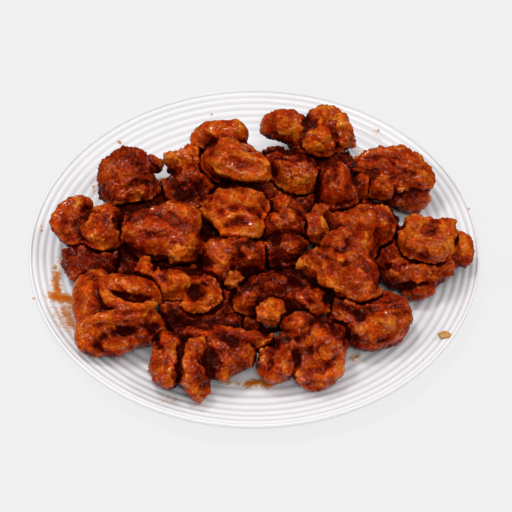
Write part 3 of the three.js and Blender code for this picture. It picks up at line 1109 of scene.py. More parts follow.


# The low pieces that the others lie on; their dark tone is painted shade.
LOW_MORSELS = tuple(
    Morsel("low_" + place, 0.20, (), Batter.CRAGGY)
    for place in ("front", "middle", "left", "back", "back_right", "right", "centre")
)

# Slits paint shade in their creases; ridges carry brighter sauce and painted light; dark ridges paint shade.
MORSELS = (
    Morsel("right_cap", 0.74, (
        ridge(8, 2, 0.2, (93, 18), (92, 11), (97, 5)), ridge(6, 1.3, 0.12, (104, 6), (112, 4), (119, 6)),
        ridge(5, 1.2, 0.05, (113, 22), (116, 16), (118, 10)), slit(6, 1.8, -0.25, (103, 18), (104, 13)),
        slit(2.5, 1.5, -0.15, (108, 24), (107, 19)), tint(6, 0.25, (118, 18), (120, 10)),
    )),
    Morsel("big_centre", 0.66, (
        slit(3, 1.5, -0.25, (74, 28), (75, 18), (72, 10)), ridge(5, 1.3, 0.05, (45, 10), (51, 12), (57, 13)),
        slit(2.5, 1.8, -0.3, (44, 4), (50, 3), (55, 5), (55, 9)),
        ridge(6, 1.6, 0.2, (31, -2), (38, 1), (46, 1), (53, -2)), slit(4, 1.2, -0.2, (44, -7), (50, -7), (56, -4)),
        ridge(5, 1.2, 0.2, (32, -8), (37, -9)), ridge(5, 1.3, 0.15, (44, -13), (50, -18), (58, -24)),
        ridge(4, 1, 0.15, (64, -26), (69, -20), (71, -13)), ridge(3.5, 1.6, 0.55, (22, -9), (25, -7), (28, -4)),
        tint(8, 0.22, (72, 14), (74, 6)),
    )),
    Morsel("folded_back", 0.72, (
        slit(9, 2.2, -0.32, (-31, 74), (-28, 69)), ridge(9, 1.6, 0.12, (-12, 79), (-17, 72), (-22, 64), (-25, 56)),
        slit(8, 3.2, -0.42, (-14, 58), (-7, 55), (0, 53), (4, 54)),
        ridge(1.6, 0.8, 0.2, (-12, 57), (-5, 54), (2, 53)),
        ridge(5, 1.9, 0.22, (-24, 56), (-16, 62), (-7, 65), (2, 62), (7, 56)), tint(7, 0.22, (-5, 60), (3, 57)),
        slit(4, 3, -0.5, (-19, 45), (-12, 44), (-4, 43), (1, 44)),
        ridge(5, 2.2, 0.2, (-24, 52), (-15, 49), (-5, 48), (4, 49), (10, 46), (13, 42)),
        tint(8, 0.35, (2, 46), (9, 43)),
    ), Batter.SMOOTH),
    Morsel("mid_fold", 0.74, (
        ridge(5, 1, 0.05, (-33, 38), (-26, 38)), tint(12, 0.14, (-7, 33)),
        slit(4, 1.2, -0.26, (-20, 18), (-10, 19), (2, 22)), slit(6, 2.4, -0.55, (-35, 19), (-30, 15), (-26, 9)),
        ridge(4.6, 1.5, 0.22, (-35, 25), (-29, 26), (-23, 20), (-20, 14), (-13, 10), (-4, 10), (3, 16), (6, 25)),
        tint(8, 0.18, (-8, 15), (-2, 17)), ridge(6, 0.6, 0.12, (-27, 31), (-20, 27), (-15, 26)),
        ridge(7, 2.2, 0.08, (-24, 27), (-18, 26)), glaze(5, (-12, 20), (-4, 21)),
        tint(6, 0.25, (-33, 24), (-31, 17)),
    ), Batter.SMOOTH),
    Morsel("broad_slab", 0.64, (
        ridge(7, 1.5, 0.2, (-79, 17), (-73, 17)), ridge(6, 1.2, 0.1, (-64, 29), (-54, 31), (-42, 30)),
        tint(8, 0.25, (-41, 25)), slit(7, 1.3, -0.22, (-57, 24), (-50, 24)),
        slit(4, 1.2, -0.18, (-70, 12), (-60, 14)), ridge(8, 1.2, 0.12, (-52, 3), (-42, 0)),
        slit(2, 1, -0.12, (-52, 8), (-42, 6)), glaze(6, (-47, 19)), tint(9, 0.22, (-58, 2), (-52, 0), (-42, 2)),
    )),
    Morsel("twin_lobes", 0.62, (
        slit(3, 2, -0.35, (31, 88), (30, 80), (29, 71)), ridge(8, 1.5, 0.15, (38, 85), (43, 83)),
        ridge(9, 1.5, 0.2, (34, 70), (41, 68)), slit(2.6, 0.7, -0.1, (34, 78), (42, 77), (47, 80)),
        slit(3.6, 0.9, -0.18, (47, 84), (48, 76), (46, 66)), ridge(5, 1.5, 0.1, (52, 80), (55, 80)),
        ridge(6, 1.5, 0.1, (51, 70), (56, 68)), tint(10, 0.2, (16, 79), (23, 76)), tint(8, -0.15, (5, 77)),
        tint(8, 0.2, (24, 74)), tint(8, 0.2, (38, 66), (47, 66)), tint(8, 0.15, (34, 82), (46, 82)),
    )),
    Morsel("veined_slab", 0.46, (
        ridge(4.5, 1.3, 0.18, (61, 60), (70, 63), (80, 63)), ridge(6, 1.5, 0.3, (85, 65), (90, 64)),
        slit(2.5, 1.2, -0.12, (62, 57), (70, 60), (80, 60)), slit(1.8, 1, -0.2, (84, 60), (94, 56), (104, 50)),
        slit(1.8, 1, -0.2, (82, 57), (90, 52), (100, 49)), ridge(7, 1.8, 0.35, (76, 50), (78, 43), (82, 36)),
        ridge(5, 1.2, 0.2, (86, 43), (91, 41)), ridge(6, 1.3, 0.25, (98, 47), (106, 45)),
        slit(4, 2.5, -0.3, (59, 50), (66, 47)), slit(3, 1.6, -0.2, (84, 37), (94, 39), (104, 40)),
        tint(7, 0.25, (106, 50), (106, 38)),
    )),
    Morsel("left_trio", 0.58, (
        slit(4, 1.4, -0.32, (-104, 31), (-106, 25), (-110, 18), (-106, 12), (-99, 6)),
        ridge(6, 1.3, 0.15, (-120, 27), (-122, 20), (-119, 13)), ridge(6, 1.3, 0.15, (-113, 33), (-106, 35)),
        ridge(5, 1.5, 0.2, (-100, 25), (-103, 16), (-97, 10), (-93, 4)), slit(5, 1.5, -0.25, (-102, 29)),
        ridge(4, 1, 0.1, (-88, 26), (-87, 16)), tint(8, -0.12, (-92, 14)),
        tint(9, 0.22, (-107, 10), (-96, 9), (-86, 10)),
    )),
    Morsel("ring", 0.56, (
        ridge(8, 2, 0.15, (-70, -4), (-68, -12)), ridge(2.6, 1.6, 0.6, (-60, -7), (-58, -9)),
        ridge(4, 0.9, 0.15, (-50, -13), (-42, -13), (-34, -17), (-28, -23)),
        ridge(5, 0.9, 0.16, (-44, -25), (-40, -29), (-33, -32), (-27, -29)),
        slit(6, 2.8, -0.6, (-38, -20), (-34, -24)), tint(11, 0.28, (-56, -22), (-46, -19), (-37, -17)),
    )),
    Morsel("curled_skin", 0.6, (
        slit(3, 1.4, -0.25, (-97, -13), (-97, -22), (-93, -30)),
        ridge(9, 0.9, 0.42, (-86, -19), (-78, -18), (-72, -19)),
        slit(2.8, 1.5, -0.45, (-88, -23), (-80, -24), (-72, -25), (-64, -26)), glaze(4, (-84, -23), (-74, -25)),
        ridge(4.2, 0.7, 0.1, (-95, -15), (-93, -21), (-91, -27), (-85, -30), (-75, -31), (-66, -30), (-60, -27)),
        slit(2.8, 2, -0.4, (-92, -34), (-82, -35.5), (-72, -34.5), (-62, -34)),
        ridge(6, 1.3, 0.28, (-105, -44), (-96, -43), (-88, -40.5), (-78, -39.5), (-68, -38), (-59, -36)),
        slit(4.2, 1.1, -0.42, (-96, -54), (-89, -48), (-79, -45.5), (-69, -44), (-60, -43)),
        ridge(5, 2, 0.35, (-76, -45), (-71, -45), (-68, -47)),
        ridge(6, 2, -0.3, (-88, -46), (-84, -45), (-80, -44)),
        ridge(9, 1.6, 0.2, (-93, -53), (-86, -54), (-76, -55)), slit(2, 1.5, -0.4, (-98, -55), (-90, -58)),
        tint(10, 0.2, (-104, -42)), tint(9, 0.22, (-97, -45), (-80, -42)),
    ), Batter.SMOOTH),
    Morsel("front_left_fold", 0.54, (
        slit(4, 2, -0.3, (-48, -44), (-36, -42), (-24, -42)),
        slit(2.2, 1.4, -0.22, (-44, -50), (-36, -50), (-26, -51), (-16, -54)),
        ridge(6, 1.5, 0.2, (-42, -47), (-32, -46), (-22, -48), (-8, -50), (4, -52)),
        slit(2.6, 1.5, -0.25, (-47, -55), (-46, -66), (-46, -80)), slit(13, 1.7, -0.36, (-26, -59), (-28, -70)),
        slit(4, 0.9, -0.2, (-35, -60), (-35, -68), (-34, -78)),
        ridge(4.6, 1.1, 0.26, (-26, -51), (-34, -51), (-40, -53), (-42, -60), (-42, -70), (-41, -80)),
        glaze(9, (-24, -64)), ridge(5, 1.5, 0.2, (-33, -51), (-26, -52), (-21, -57), (-18, -65), (-18, -72)),
        ridge(6, 1.2, 0.12, (-14, -58), (-12, -66)), ridge(7, 1.5, 0.1, (-11, -58), (-6, -58)),
        ridge(6, 1.5, 0, (-37, -79), (-31, -82)), tint(8, 0.15, (-52, -64)), tint(8, 0.22, (-29, -54), (-29, -60)),
        tint(5, 0.22, (-49, -56), (-49, -74)),
    )),
    Morsel("front_right_curl", 0.62, (
        slit(3, 1.6, -0.3, (36, -42), (31, -47), (24, -51)), ridge(9, 1.5, 0.12, (19, -43), (26, -38), (33, -39)),
        ridge(11, 1.6, 0.25, (38, -46), (45, -50), (50, -56)), slit(5, 1.4, -0.26, (26, -57), (34, -57), (40, -54)),
        slit(3.5, 1.6, -0.35, (24, -59), (26, -64)), slit(6, 1.8, -0.15, (34, -70), (42, -67), (48, -63)),
        ridge(5, 1.5, 0.1, (27, -70), (32, -64), (40, -61), (46, -60)),
        ridge(5, 1.8, 0.25, (27, -74), (33, -76), (41, -75), (48, -70)),
        slit(2.2, 1.8, -0.4, (25, -77), (34, -78), (43, -76)), ridge(9, 1.5, 0.08, (13, -62), (17, -66), (15, -73)),
        ridge(6, 1.5, 0.1, (2, -60), (4, -66)), slit(3, 1.8, -0.3, (8, -60), (8, -68)),
        tint(7, 0.28, (36, -66), (46, -64), (52, -68)), ridge(8, 0.6, -0.35, (38, -37), (45, -40)),
        ridge(7, 2.4, -0.3, (9, -50), (14, -49)),
    )),
    Morsel("front_mid", 0.52, (
        ridge(6, 1.2, -0.05, (-4, -20), (4, -15), (12, -13), (20, -15)), ridge(5, 1.5, 0.22, (-3, -24), (3, -24)),
        slit(3, 2, -0.3, (21, -22), (24, -28), (33, -33)), ridge(8, 1.8, 0.2, (29, -24), (36, -28), (41, -33)),
        ridge(12, 2.6, 0.42, (8, -33), (7, -38)), tint(8, -0.12, (16, -22)), tint(6, 0.2, (12, -20), (18, -26)),
        tint(6, 0.25, (-15, -37)),
    )),
    Morsel("striated_oval", 0.5, (
        slit(5, 1.8, -0.25, (58, -34), (66, -36)), ridge(9, 1.5, 0.28, (69, -38), (78, -38), (84, -42)),
        ridge(7, 1.5, 0.15, (48, -30), (53, -37), (62, -43), (70, -46)),
        slit(2, 1.2, -0.34, (57, -31), (66, -32), (76, -32), (88, -30)),
        slit(1.6, 0.9, -0.26, (66, -28), (78, -28), (88, -27)), slit(1.6, 0.9, -0.26, (74, -24), (84, -24)),
        slit(1.6, 0.9, -0.22, (70, -36), (80, -36), (92, -34)),
        slit(2.5, 1.6, -0.4, (56, -51), (64, -53), (72, -52), (80, -51)), ridge(2, 1, 0.3, (61, -52), (68, -53)),
        tint(12, 0.15, (75, -46), (90, -42)), ridge(7, 0.5, -0.3, (76, -24), (84, -24)),
    )),
    Morsel("right_base", 0.45, (
        ridge(8, 1.5, 0.25, (82, -3), (87, -3)), slit(4, 2.5, -0.3, (78, -7), (88, -7), (96, -5)),
        ridge(9, 1.5, 0.25, (86, -12), (94, -11), (103, -9)),
        slit(3.5, 2.5, -0.35, (80, -19), (92, -19), (104, -17)), slit(2, 1.5, -0.3, (121, 10), (123, 3), (126, -2)),
        ridge(5, 1.2, 0.1, (128, 9), (129, 3)), slit(3, 2, -0.3, (108, -2), (116, -1), (122, 1)),
        tint(10, 0.35, (118, 0), (126, 4)), ridge(8, 0.8, -0.3, (76, -17), (84, -20)),
    )),
    Morsel("grainy_block", 0.46, (
        tint(10, 0.2, (28, 53), (31, 46)), slit(3, 1.6, -0.3, (12, 60), (20, 58), (30, 60)),
        ridge(4, 1, 0.05, (34, 56), (36, 48), (33, 40)), glaze(8, (22, 47), (28, 43)),
        tint(7, 0.3, (19, 44), (31, 44)),
    )),
    Morsel("stub", 0.58, (
        tint(8, 0.18, (35, 22)), ridge(4, 1, 0.1, (41, 22), (43, 14)),
    )),
    Morsel("centre_left_crag", 0.56, (
        ridge(5, 1.5, 0.2, (-27, 9), (-29, 3), (-26, -1)), slit(8, 3, -0.1, (-14, 2), (-9, -2)),
        ridge(4.5, 1.8, 0.35, (-23, 1), (-20, -4), (-16, -8)), ridge(3.5, 1.5, 0.2, (1, 5), (-2, 1), (-6, -3)),
        ridge(7, 1.5, 0.15, (-14, -13), (-14, -18)),
    ), Batter.CRAGGY),
    Morsel("glossy_hump", 0.38, (
        ridge(6, 1.3, 0.22, (53, 54), (50, 47), (46, 42)), ridge(6, 1.5, 0.12, (58, 37), (62, 41)),
        glaze(8, (48, 40), (52, 34)),
    ), Batter.SMOOTH),
    Morsel("round_knob", 0.4, (
        tint(13, 0.15, (-86, 52), (-83, 42)), tint(10, -0.12, (-70, 58)), glaze(5, (-84, 54)), glaze(4, (-79, 59)),
        slit(3, 1.6, -0.25, (-78, 42), (-72, 45), (-63, 44)), ridge(9, 1.5, 0.15, (-73, 38), (-66, 38)),
        tint(8, 0.18, (-72, 37)),
    ), Batter.CRAGGY),
    Morsel("centre_crag", 0.3, (
        tint(8, 0.32, (17, 32)), ridge(2.5, 1.2, 0.15, (8, 26), (14, 22)), ridge(3, 1.2, 0.2, (20, 28), (22, 22)),
        slit(5, 2.5, -0.3, (10, 10), (13, 8)), ridge(7, 2, 0.42, (23, 6)), ridge(4, 1.5, 0.2, (9, 2)),
        tint(7, 0.25, (7, 14), (15, 17), (25, 15)), tint(6, 0.18, (13, 29), (28, 28)),
        ridge(8, 0.5, -0.35, (29, 5)),
    ), Batter.CRAGGY),
    Morsel("back_left_crag", 0.5, (
        ridge(6, 1.5, 0.18, (-55, 60), (-49, 60)), ridge(8, 1.5, 0.22, (-45, 58), (-42, 53)),
        ridge(5, 1.5, 0.1, (-40, 70), (-36, 66)), slit(5, 3, -0.4, (-30, 66), (-29, 61)),
        ridge(1.8, 1, 0.15, (-36, 56), (-33, 50)), ridge(1.8, 1, 0.15, (-32, 57), (-29, 51)),
        tint(9, 0.28, (-54, 58), (-48, 56)),
    ), Batter.CRAGGY),
    # This piece lies under left_trio; its dark tone is painted shade.
    Morsel("left_under", 0.22, (), Batter.CRAGGY),
)


# Hollows between pieces: each sinks the skin and paints shade along it.
HOLLOWS = (
    slit(9, 2, -0.38, (-98, 22), (-85, 22), (-74, 26), (-60, 32), (-48, 36), (-30, 37)),
    slit(7, 0.7, -0.4, (-54, 47), (-50, 42), (-44, 38)),
    slit(7, 2, -0.45, (-56, -8), (-44, -9), (-33, -8), (-31, 0)),
    slit(8, 1.4, -0.35, (-84, -3), (-78, -10), (-68, -16), (-58, -14)),
    slit(6, 1.6, -0.35, (-30, -12), (-27, -20), (-20, -25), (-12, -23)),
    slit(8, 1, -0.6, (-8, -18), (0, -15), (9, -13), (19, -11)),
    slit(6, 1.4, -0.5, (-50, -44), (-38, -43), (-28, -43)),
    slit(7, 0.7, -0.5, (-20, -48), (-8, -49), (6, -49), (18, -51)),
    slit(7, 0.6, -0.6, (28, 3), (31, 0), (40, 3), (48, 2)), slit(7, 1.4, -0.55, (24, -16), (29, -21), (33, -26)),
    slit(7, 1.2, -0.5, (22, -37), (30, -35)), slit(9, 0.4, -0.7, (38, -40), (46, -44), (51, -50)),
    slit(10, 2, -0.5, (4, 66), (12, 68), (18, 66)),
    slit(7, 1.8, -0.32, (20, 63), (30, 61), (36, 57), (47, 56), (49, 46)),
    slit(7, 1.5, -0.35, (-28, 64), (-25, 68)), slit(6, 1.6, -0.4, (-17, 41), (-8, 41)),
    slit(5, 1.2, -0.5, (-12, 7), (-2, 7)), slit(7, 0.9, -0.35, (66, -3), (71, -9), (74, -18)),
    slit(6, 1.6, -0.28, (52, 28), (62, 29), (72, 29), (78, 25), (88, 19)),
    slit(5, 1.4, -0.3, (-103, -12), (-99, -12)), slit(6, 1.5, -0.3, (3, 34), (6, 30)),
    slit(5, 1.5, -0.3, (15, 10), (22, 9)), slit(5, 1.5, -0.3, (-62, -47), (-58, -55)),
    slit(6, 1.5, -0.35, (107, 14), (111, 20)), slit(5, 1.5, -0.3, (8, -57), (12, -54)),
    slit(6, 1.4, -0.3, (42, -27), (53, -30), (60, -35), (66, -40)),
)

# Spots over several pieces: the bright ones partly painted light, the dark ones painted shade.
BRIGHT_SPOTS = (
    (90, 56), (119, -1), (-52, -2), (6, 44), (-90, 55), (-74, -39), (-46, -22), (-103, -54), (-54, 57), (27, 77),
    (52, 82), (-16, 78), (-112, -25), (35, -37), (63, 37), (-34, -84), (-69, 36), (101, 30),
)
DARK_SPOTS = (
    (73, -19), (-99, -33), (10, -67), (-55, -65), (31, -74), (-85, -28), (45, -42), (-39, -48), (9, 26), (-15, 20),
    (3, -48), (-67, -20), (40, 27), (-40, -66), (30, -1), (-6, 7), (93, 1),
)

# Patches over several pieces: dark ones paint shade in gaps and under lips; bright ones are sauce colour and painted
# light.
SHADES = (
    tint(8, -0.18, (-77, 20), (-72, 10)), tint(8, -0.28, (-46, 20), (-45, 9)), tint(5, -0.2, (-17, 24), (-17, 17)),
    tint(5, -0.2, (-5, 25), (-4, 18)), tint(6, -0.45, (-38, -27), (-30, -27)), tint(6, -0.25, (42, -12), (54, -9)),
    tint(5, -0.25, (46, 14), (52, 15)), tint(5, -0.25, (40, 29), (41, 25)), tint(5, -0.22, (84, -8), (94, -7)),
    tint(5, -0.25, (62, 50), (68, 45), (76, 44)), tint(9, -0.22, (-38, -62), (-36, -74)),
    tint(8, -0.22, (28, -66), (34, -72), (42, -71)), tint(7, -0.25, (-20, -55), (-8, -54)),
    tint(6, -0.25, (-8, -66)), tint(6, -0.25, (6, -70)), tint(5, -0.25, (-44, 49), (-30, 45)),
    tint(8, -0.2, (12, 86), (24, 85)), tint(7, -0.2, (-80, 58), (-70, 55)), tint(6, -0.2, (-118, 24), (-116, 14)),
    tint(9, 0.4, (2, 46), (9, 43)), tint(9, 0.36, (-58, 1), (-50, -2), (-42, 0)),
    tint(9, 0.22, (-60, -27), (-52, -22), (-38, -18)), tint(9, 0.26, (8, 76), (22, 73), (28, 74)),
    tint(5, 0.25, (45, 80)), tint(6, 0.25, (-30, 75)), tint(5, 0.28, (-9, 74)), tint(6, 0.25, (-11, 60)),
    tint(6, 0.16, (-18, 49), (-6, 47)), tint(6, 0.34, (20, 44), (30, 44)), tint(6, 0.42, (64, 37)),
    tint(5, 0.38, (48, 33)), tint(7, 0.24, (73, 12), (72, 5)), tint(6, 0.18, (6, 14), (14, 15)),
    tint(6, 0.2, (36, 8), (46, 5)), tint(7, 0.22, (-104, 30), (-96, 24)), tint(6, 0.2, (-72, 36)),
    tint(6, 0.22, (-34, 24), (-32, 14)), tint(7, 0.18, (-14, -3), (-6, -8)), tint(5, 0.22, (-15, -37)),
    tint(7, 0.22, (38, -66), (52, -66)), tint(7, 0.18, (88, -15), (97, -13)), tint(9, 0.14, (66, -45), (84, -44)),
    tint(9, 0.26, (86, 39), (104, 38)), tint(12, 0.48, (118, 1), (126, 4)),
    tint(10, 0.2, (-109, -14), (-111, -28), (-107, -42)), tint(7, 0.2, (70, 64), (90, 66), (104, 56)),
    tint(7, 0.2, (-63, -33), (-59, -28)), tint(8, 0.2, (-12, 47), (0, 46)), tint(8, 0.18, (-92, 50), (-92, 44)),
    tint(8, 0.22, (-54, 59), (-49, 57)), tint(8, 0.14, (-104, 8), (-92, 8)), tint(8, 0.16, (50, 82), (46, 72)),
    tint(6, 0.2, (31, -33)), tint(5, 0.22, (-121, 27)), tint(6, 0.25, (-33, -83)),
    tint(5, 0.18, (-49, -56), (-48, -72)), tint(6, 0.16, (-61, -72)), tint(6, 0.14, (-66, 21)),
    tint(6, 0.14, (-30, -58)), tint(6, 0.14, (30, -54)), tint(5, 0.18, (23, -6)), tint(5, 0.18, (88, -49)),
    tint(6, -0.22, (-94, -32), (-86, -30)), tint(5, -0.25, (2, 4), (9, 3)), tint(5, -0.22, (-8, 9), (-2, 8)),
    tint(5, -0.2, (90, 31)), tint(5, -0.22, (93, 1)), tint(5, -0.18, (34, -60)), tint(6, -0.18, (-69, 3)),
    tint(5, -0.15, (-56, -66)), tint(5, -0.18, (-14, -11)), tint(5, -0.16, (-21, 77)),
    tint(6, -0.18, (100, 0), (108, -2), (115, -2)),
    tint(5, -0.38, (-95, -51), (-89, -48), (-81, -45.5), (-70, -44), (-61, -43)),
    tint(4, -0.32, (-97, -55), (-92, -58), (-87, -61)), tint(7, 0.15, (-90, -55), (-82, -56), (-72, -56)),
    tint(6, -0.4, (-76, 2), (-80, -1)), tint(6, -0.4, (-53, -36), (-46, -38)),
    tint(6, -0.35, (8, -6), (14, -7), (20, -9)), tint(8, 0.2, (-86, -21), (-76, -20)),
    tint(9, 0.14, (-106, -46), (-90, -46)), *(tint(6.0, 0.2, spot) for spot in BRIGHT_SPOTS),
    *(tint(6.0, -0.22, spot) for spot in DARK_SPOTS),
)


def eased_path(points: np.ndarray, steps: int) -> np.ndarray:
    """Runs a smooth line through points.

    Args:
        points: The points, as rows.
        steps: Steps between two of them.

    Returns:
        The line's points, as rows.
    """
    if len(points) < 2:
        return points
    ends = np.concatenate((2 * points[:1] - points[1:2], points, 2 * points[-1:] - points[-2:-1]))
    rows = []
    for a, b, c, d in zip(ends, ends[1:], ends[2:], ends[3:]):
        square, cube = 2 * a - 5 * b + 4 * c - d, 3 * b - a - 3 * c + d
        for step in range(steps):
            t = step / steps
            rows.append(0.5 * (2 * b + (c - a) * t + square * t**2 + cube * t**3))
    return np.stack(rows + [points[-1]])


def path_distance(points: np.ndarray, line: np.ndarray) -> tuple[np.ndarray, np.ndarray]:
    """Measures how far points are from a line.

    Args:
        points: The points, as rows.
        line: The line's points, as rows.

    Returns:
        The distances, and how far along the line the nearest place is, from 0 to 1.
    """
    best = np.linalg.norm(points - line[0], axis=1)
    along = np.full(len(points), 0.5 if len(line) == 1 else 0.0)
    for number, (start, end) in enumerate(zip(line, line[1:])):
        way = end - start
        part = np.clip((points - start) @ way / max(way @ way, 1e-9), 0.0, 1.0)
        distance = np.linalg.norm(points - start - part[:, None] * way, axis=1)
        along = np.where(distance < best, (number + part) / (len(line) - 1), along)
        best = np.minimum(best, distance)
    return best, along


def uneven(points: np.ndarray) -> np.ndarray:
    """Gives a slowly varying number round 1 at each point, so that no fold has an even width."""
    x, y, z = points.T
    waves = np.sin(0.83 * x + 1.21 * y + 0.5) + np.sin(1.13 * y - 0.74 * z + 2.0) + np.sin(0.52 * x + 0.9 * z)
    return 1.0 + 0.13 * waves


def hollows_near(hollows: tuple[Stroke, ...], points: np.ndarray) -> Iterator[tuple[Stroke, np.ndarray, np.ndarray]]:
    """Finds which points each hollow reaches, as the camera sees them.

    Args:
        hollows: The hollows between pieces.
        points: The points, as rows.

    Yields:
        The hollow, the numbers of the points it reaches, and how far they are from its middle.
    """
    seen, bent = SIGHT.seen(points), uneven(points)
    for hollow in hollows:
        line = eased_path(np.array(hollow.path, float), HOLLOW_STEPS)
        room = HOLLOW_REACH * hollow.width
        near = np.flatnonzero(((seen > line.min(0) - room) & (seen < line.max(0) + room)).all(axis=1))
        if len(near):
            distance, _ = path_distance(seen[near], line)
            yield hollow, near, distance / bent[near]


class Sculpture:
    """The lattice of one piece of chicken while it is worked."""

    def __init__(self, morsel: Morsel, share: Block, others: np.ndarray, fill: float) -> None:
        """Starts from the piece's own blurred solid, swollen where other pieces lie close.

        Args:
            morsel: What the piece is.
            share: Its blurred solid.
            others: How much of the other pieces is near each sample.
            fill: How far it swells where it is on its own.
        """
        self.morsel = morsel
        self.base = depth_of(share.values)
        near = np.clip((others - CLOSE_FROM) / CLOSE_SPAN, 0.0, 1.0)
        self.swell = fill + CLOSING * near * near * (3.0 - 2.0 * near)
        self.block = Block(share.corner, self.base + self.swell)
        self.marks: list[tuple[Stroke, np.ndarray]] = []

    def hit(self, across: float, up: float) -> np.ndarray:
        """Finds where a sight line meets the skin, or comes closest to it.

        Args:
            across: mm across the sight plane.
            up: mm up it.

        Returns:
            The place in mm.
        """
        eye, way = SIGHT.line(across, up)
        centre = (self.block.corner + np.array(self.block.values.shape) / 2) * LATTICE_PITCH
        middle = (centre - eye) @ way
        steps = middle + np.arange(-SEARCH_REACH, SEARCH_REACH, SEARCH_STEP)
        points = eye + steps[:, None] * way
        depth = self.block.sample(points)
        inside = np.flatnonzero(depth > 0)
        return points[inside[0] if len(inside) else int(depth.argmax())]

    def work(self, stroke: Stroke) -> None:
        """Works one stroke into the skin."""
        picks = eased_path(np.array(stroke.path, float), PATH_STEPS)
        line = np.stack([self.hit(*pick) for pick in picks])
        out = self.block.slope(line)
        half = stroke.width / 2
        if stroke.relief in (Relief.TINT, Relief.GLAZE):
            self.marks.append((stroke, line))
            return
        side = 1.0 if stroke.relief is Relief.RIDGE else -1.0
        dent = stroke.relief is Relief.SLIT and stroke.rise < DEEP_SLIT
        if not dent:
            line = line + out * (side * (stroke.rise - half))
        self.marks.append((stroke, line))
        blend = max(LEAST_BLEND, (SLIT_BLEND if side < 0 else RIDGE_BLEND) * half)
        room = (2.0 * half if dent else half + blend) + 1.0
        low = np.floor((line.min(0) - room) / LATTICE_PITCH).astype(int) - self.block.corner
        high = np.ceil((line.max(0) + room) / LATTICE_PITCH).astype(int) - self.block.corner + 1
        low, high = np.maximum(low, 0), np.minimum(high, self.block.values.shape)
        window = tuple(slice(*pair) for pair in zip(low, high))
        axes = [axis[part] for axis, part in zip(self.block.axes(), window)]
        places = np.stack(np.meshgrid(*axes, indexing="ij"), axis=-1).reshape(-1, 3)
        distance, along = path_distance(places, line)
        taper = TAPER_END + TAPER_BULGE * np.sin(math.pi * along) if len(line) > 1 else 1.0
        distance = distance / (taper * uneven(places))
        old = self.block.values[window]
        if dent:
            sunk = stroke.rise * bell(distance, DENT_SHARE * stroke.width)
            self.block.values[window] = old - sunk.reshape(old.shape)
        else:
            shape = (half - distance).reshape(old.shape)
            self.block.values[window] = side * soft_most(side * old, shape, blend)

    def sink(self, hollows: tuple[Stroke, ...]) -> None:
        """Sinks the skin along the hollows between the pieces."""
        picked = np.abs(self.block.values) < DENT_DEPTH
        places = np.stack([axis[step] for axis, step in zip(self.block.axes(), np.nonzero(picked))], axis=1)
        sunk = np.zeros(len(places), np.float32)
        for hollow, near, distance in hollows_near(hollows, places):
            sunk[near] = np.maximum(sunk[near], hollow.rise * bell(distance, DENT_SHARE * hollow.width))
        self.block.values[picked] -= sunk

    def bound(self, over: np.ndarray, under: np.ndarray) -> None:
        """Keeps the piece near its solid, off its neighbours and off the plate.

        It laps over the pieces under it with a crisp edge, and rounds away beneath the pieces over it.

        Args:
            over: Depth under the skins of the neighbours that lie over it, at each sample.
            under: Depth under the skins of the neighbours that lie under it.
        """
        x, y, z = self.block.axes()
        ground = PLATE.top(np.hypot(x[:, None], y[None, :]))
        above = z[None, None, :] - ground[:, :, None] - PLATE_CLEARANCE
        over, under = (d - NEIGHBOUR_FALL * np.maximum(-d - NEIGHBOUR_REACH, 0.0) for d in (over, under))
        beneath = (self.base - over) / 2 - OVERLAP - GAP
        above_them = (self.base - under) / 2 + OVERLAP
        self.own_side = Block(self.block.corner, np.minimum(beneath, above_them))
        self.over = Block(self.block.corner, over)
        kept = np.minimum(self.block.values, self.base + self.swell + SKIN_ALLOWANCE)
        kept = soft_least(soft_least(kept, above_them, LIP), beneath, SHOULDER)
        self.block.values = np.minimum(kept, above)

    def paint(self, points: np.ndarray) -> tuple[np.ndarray, np.ndarray]:
        """Adds up what the strokes do to the tone at each point, and how much thick sauce they lay there."""
        tone, sauce = np.zeros(len(points)), np.zeros(len(points))
        # Slits, hollows and dark shades paint shade into the tone; ridges and bright shades paint light.
        for stroke, line in self.marks:
            distance, _ = path_distance(points, line)
            part = stroke.tone * bell(distance, STROKE_SPREAD * stroke.width + STROKE_EDGE)
            if stroke.relief is Relief.GLAZE:
                sauce += part
            else:
                tone += part * (SLIT_TONE if stroke.relief is Relief.SLIT else 1.0)
        for hollow, near, distance in hollows_near(HOLLOWS + SHADES, points):
            tone[near] += hollow.tone * bell(distance, SHADE_SPREAD * hollow.width)
        return tone, sauce


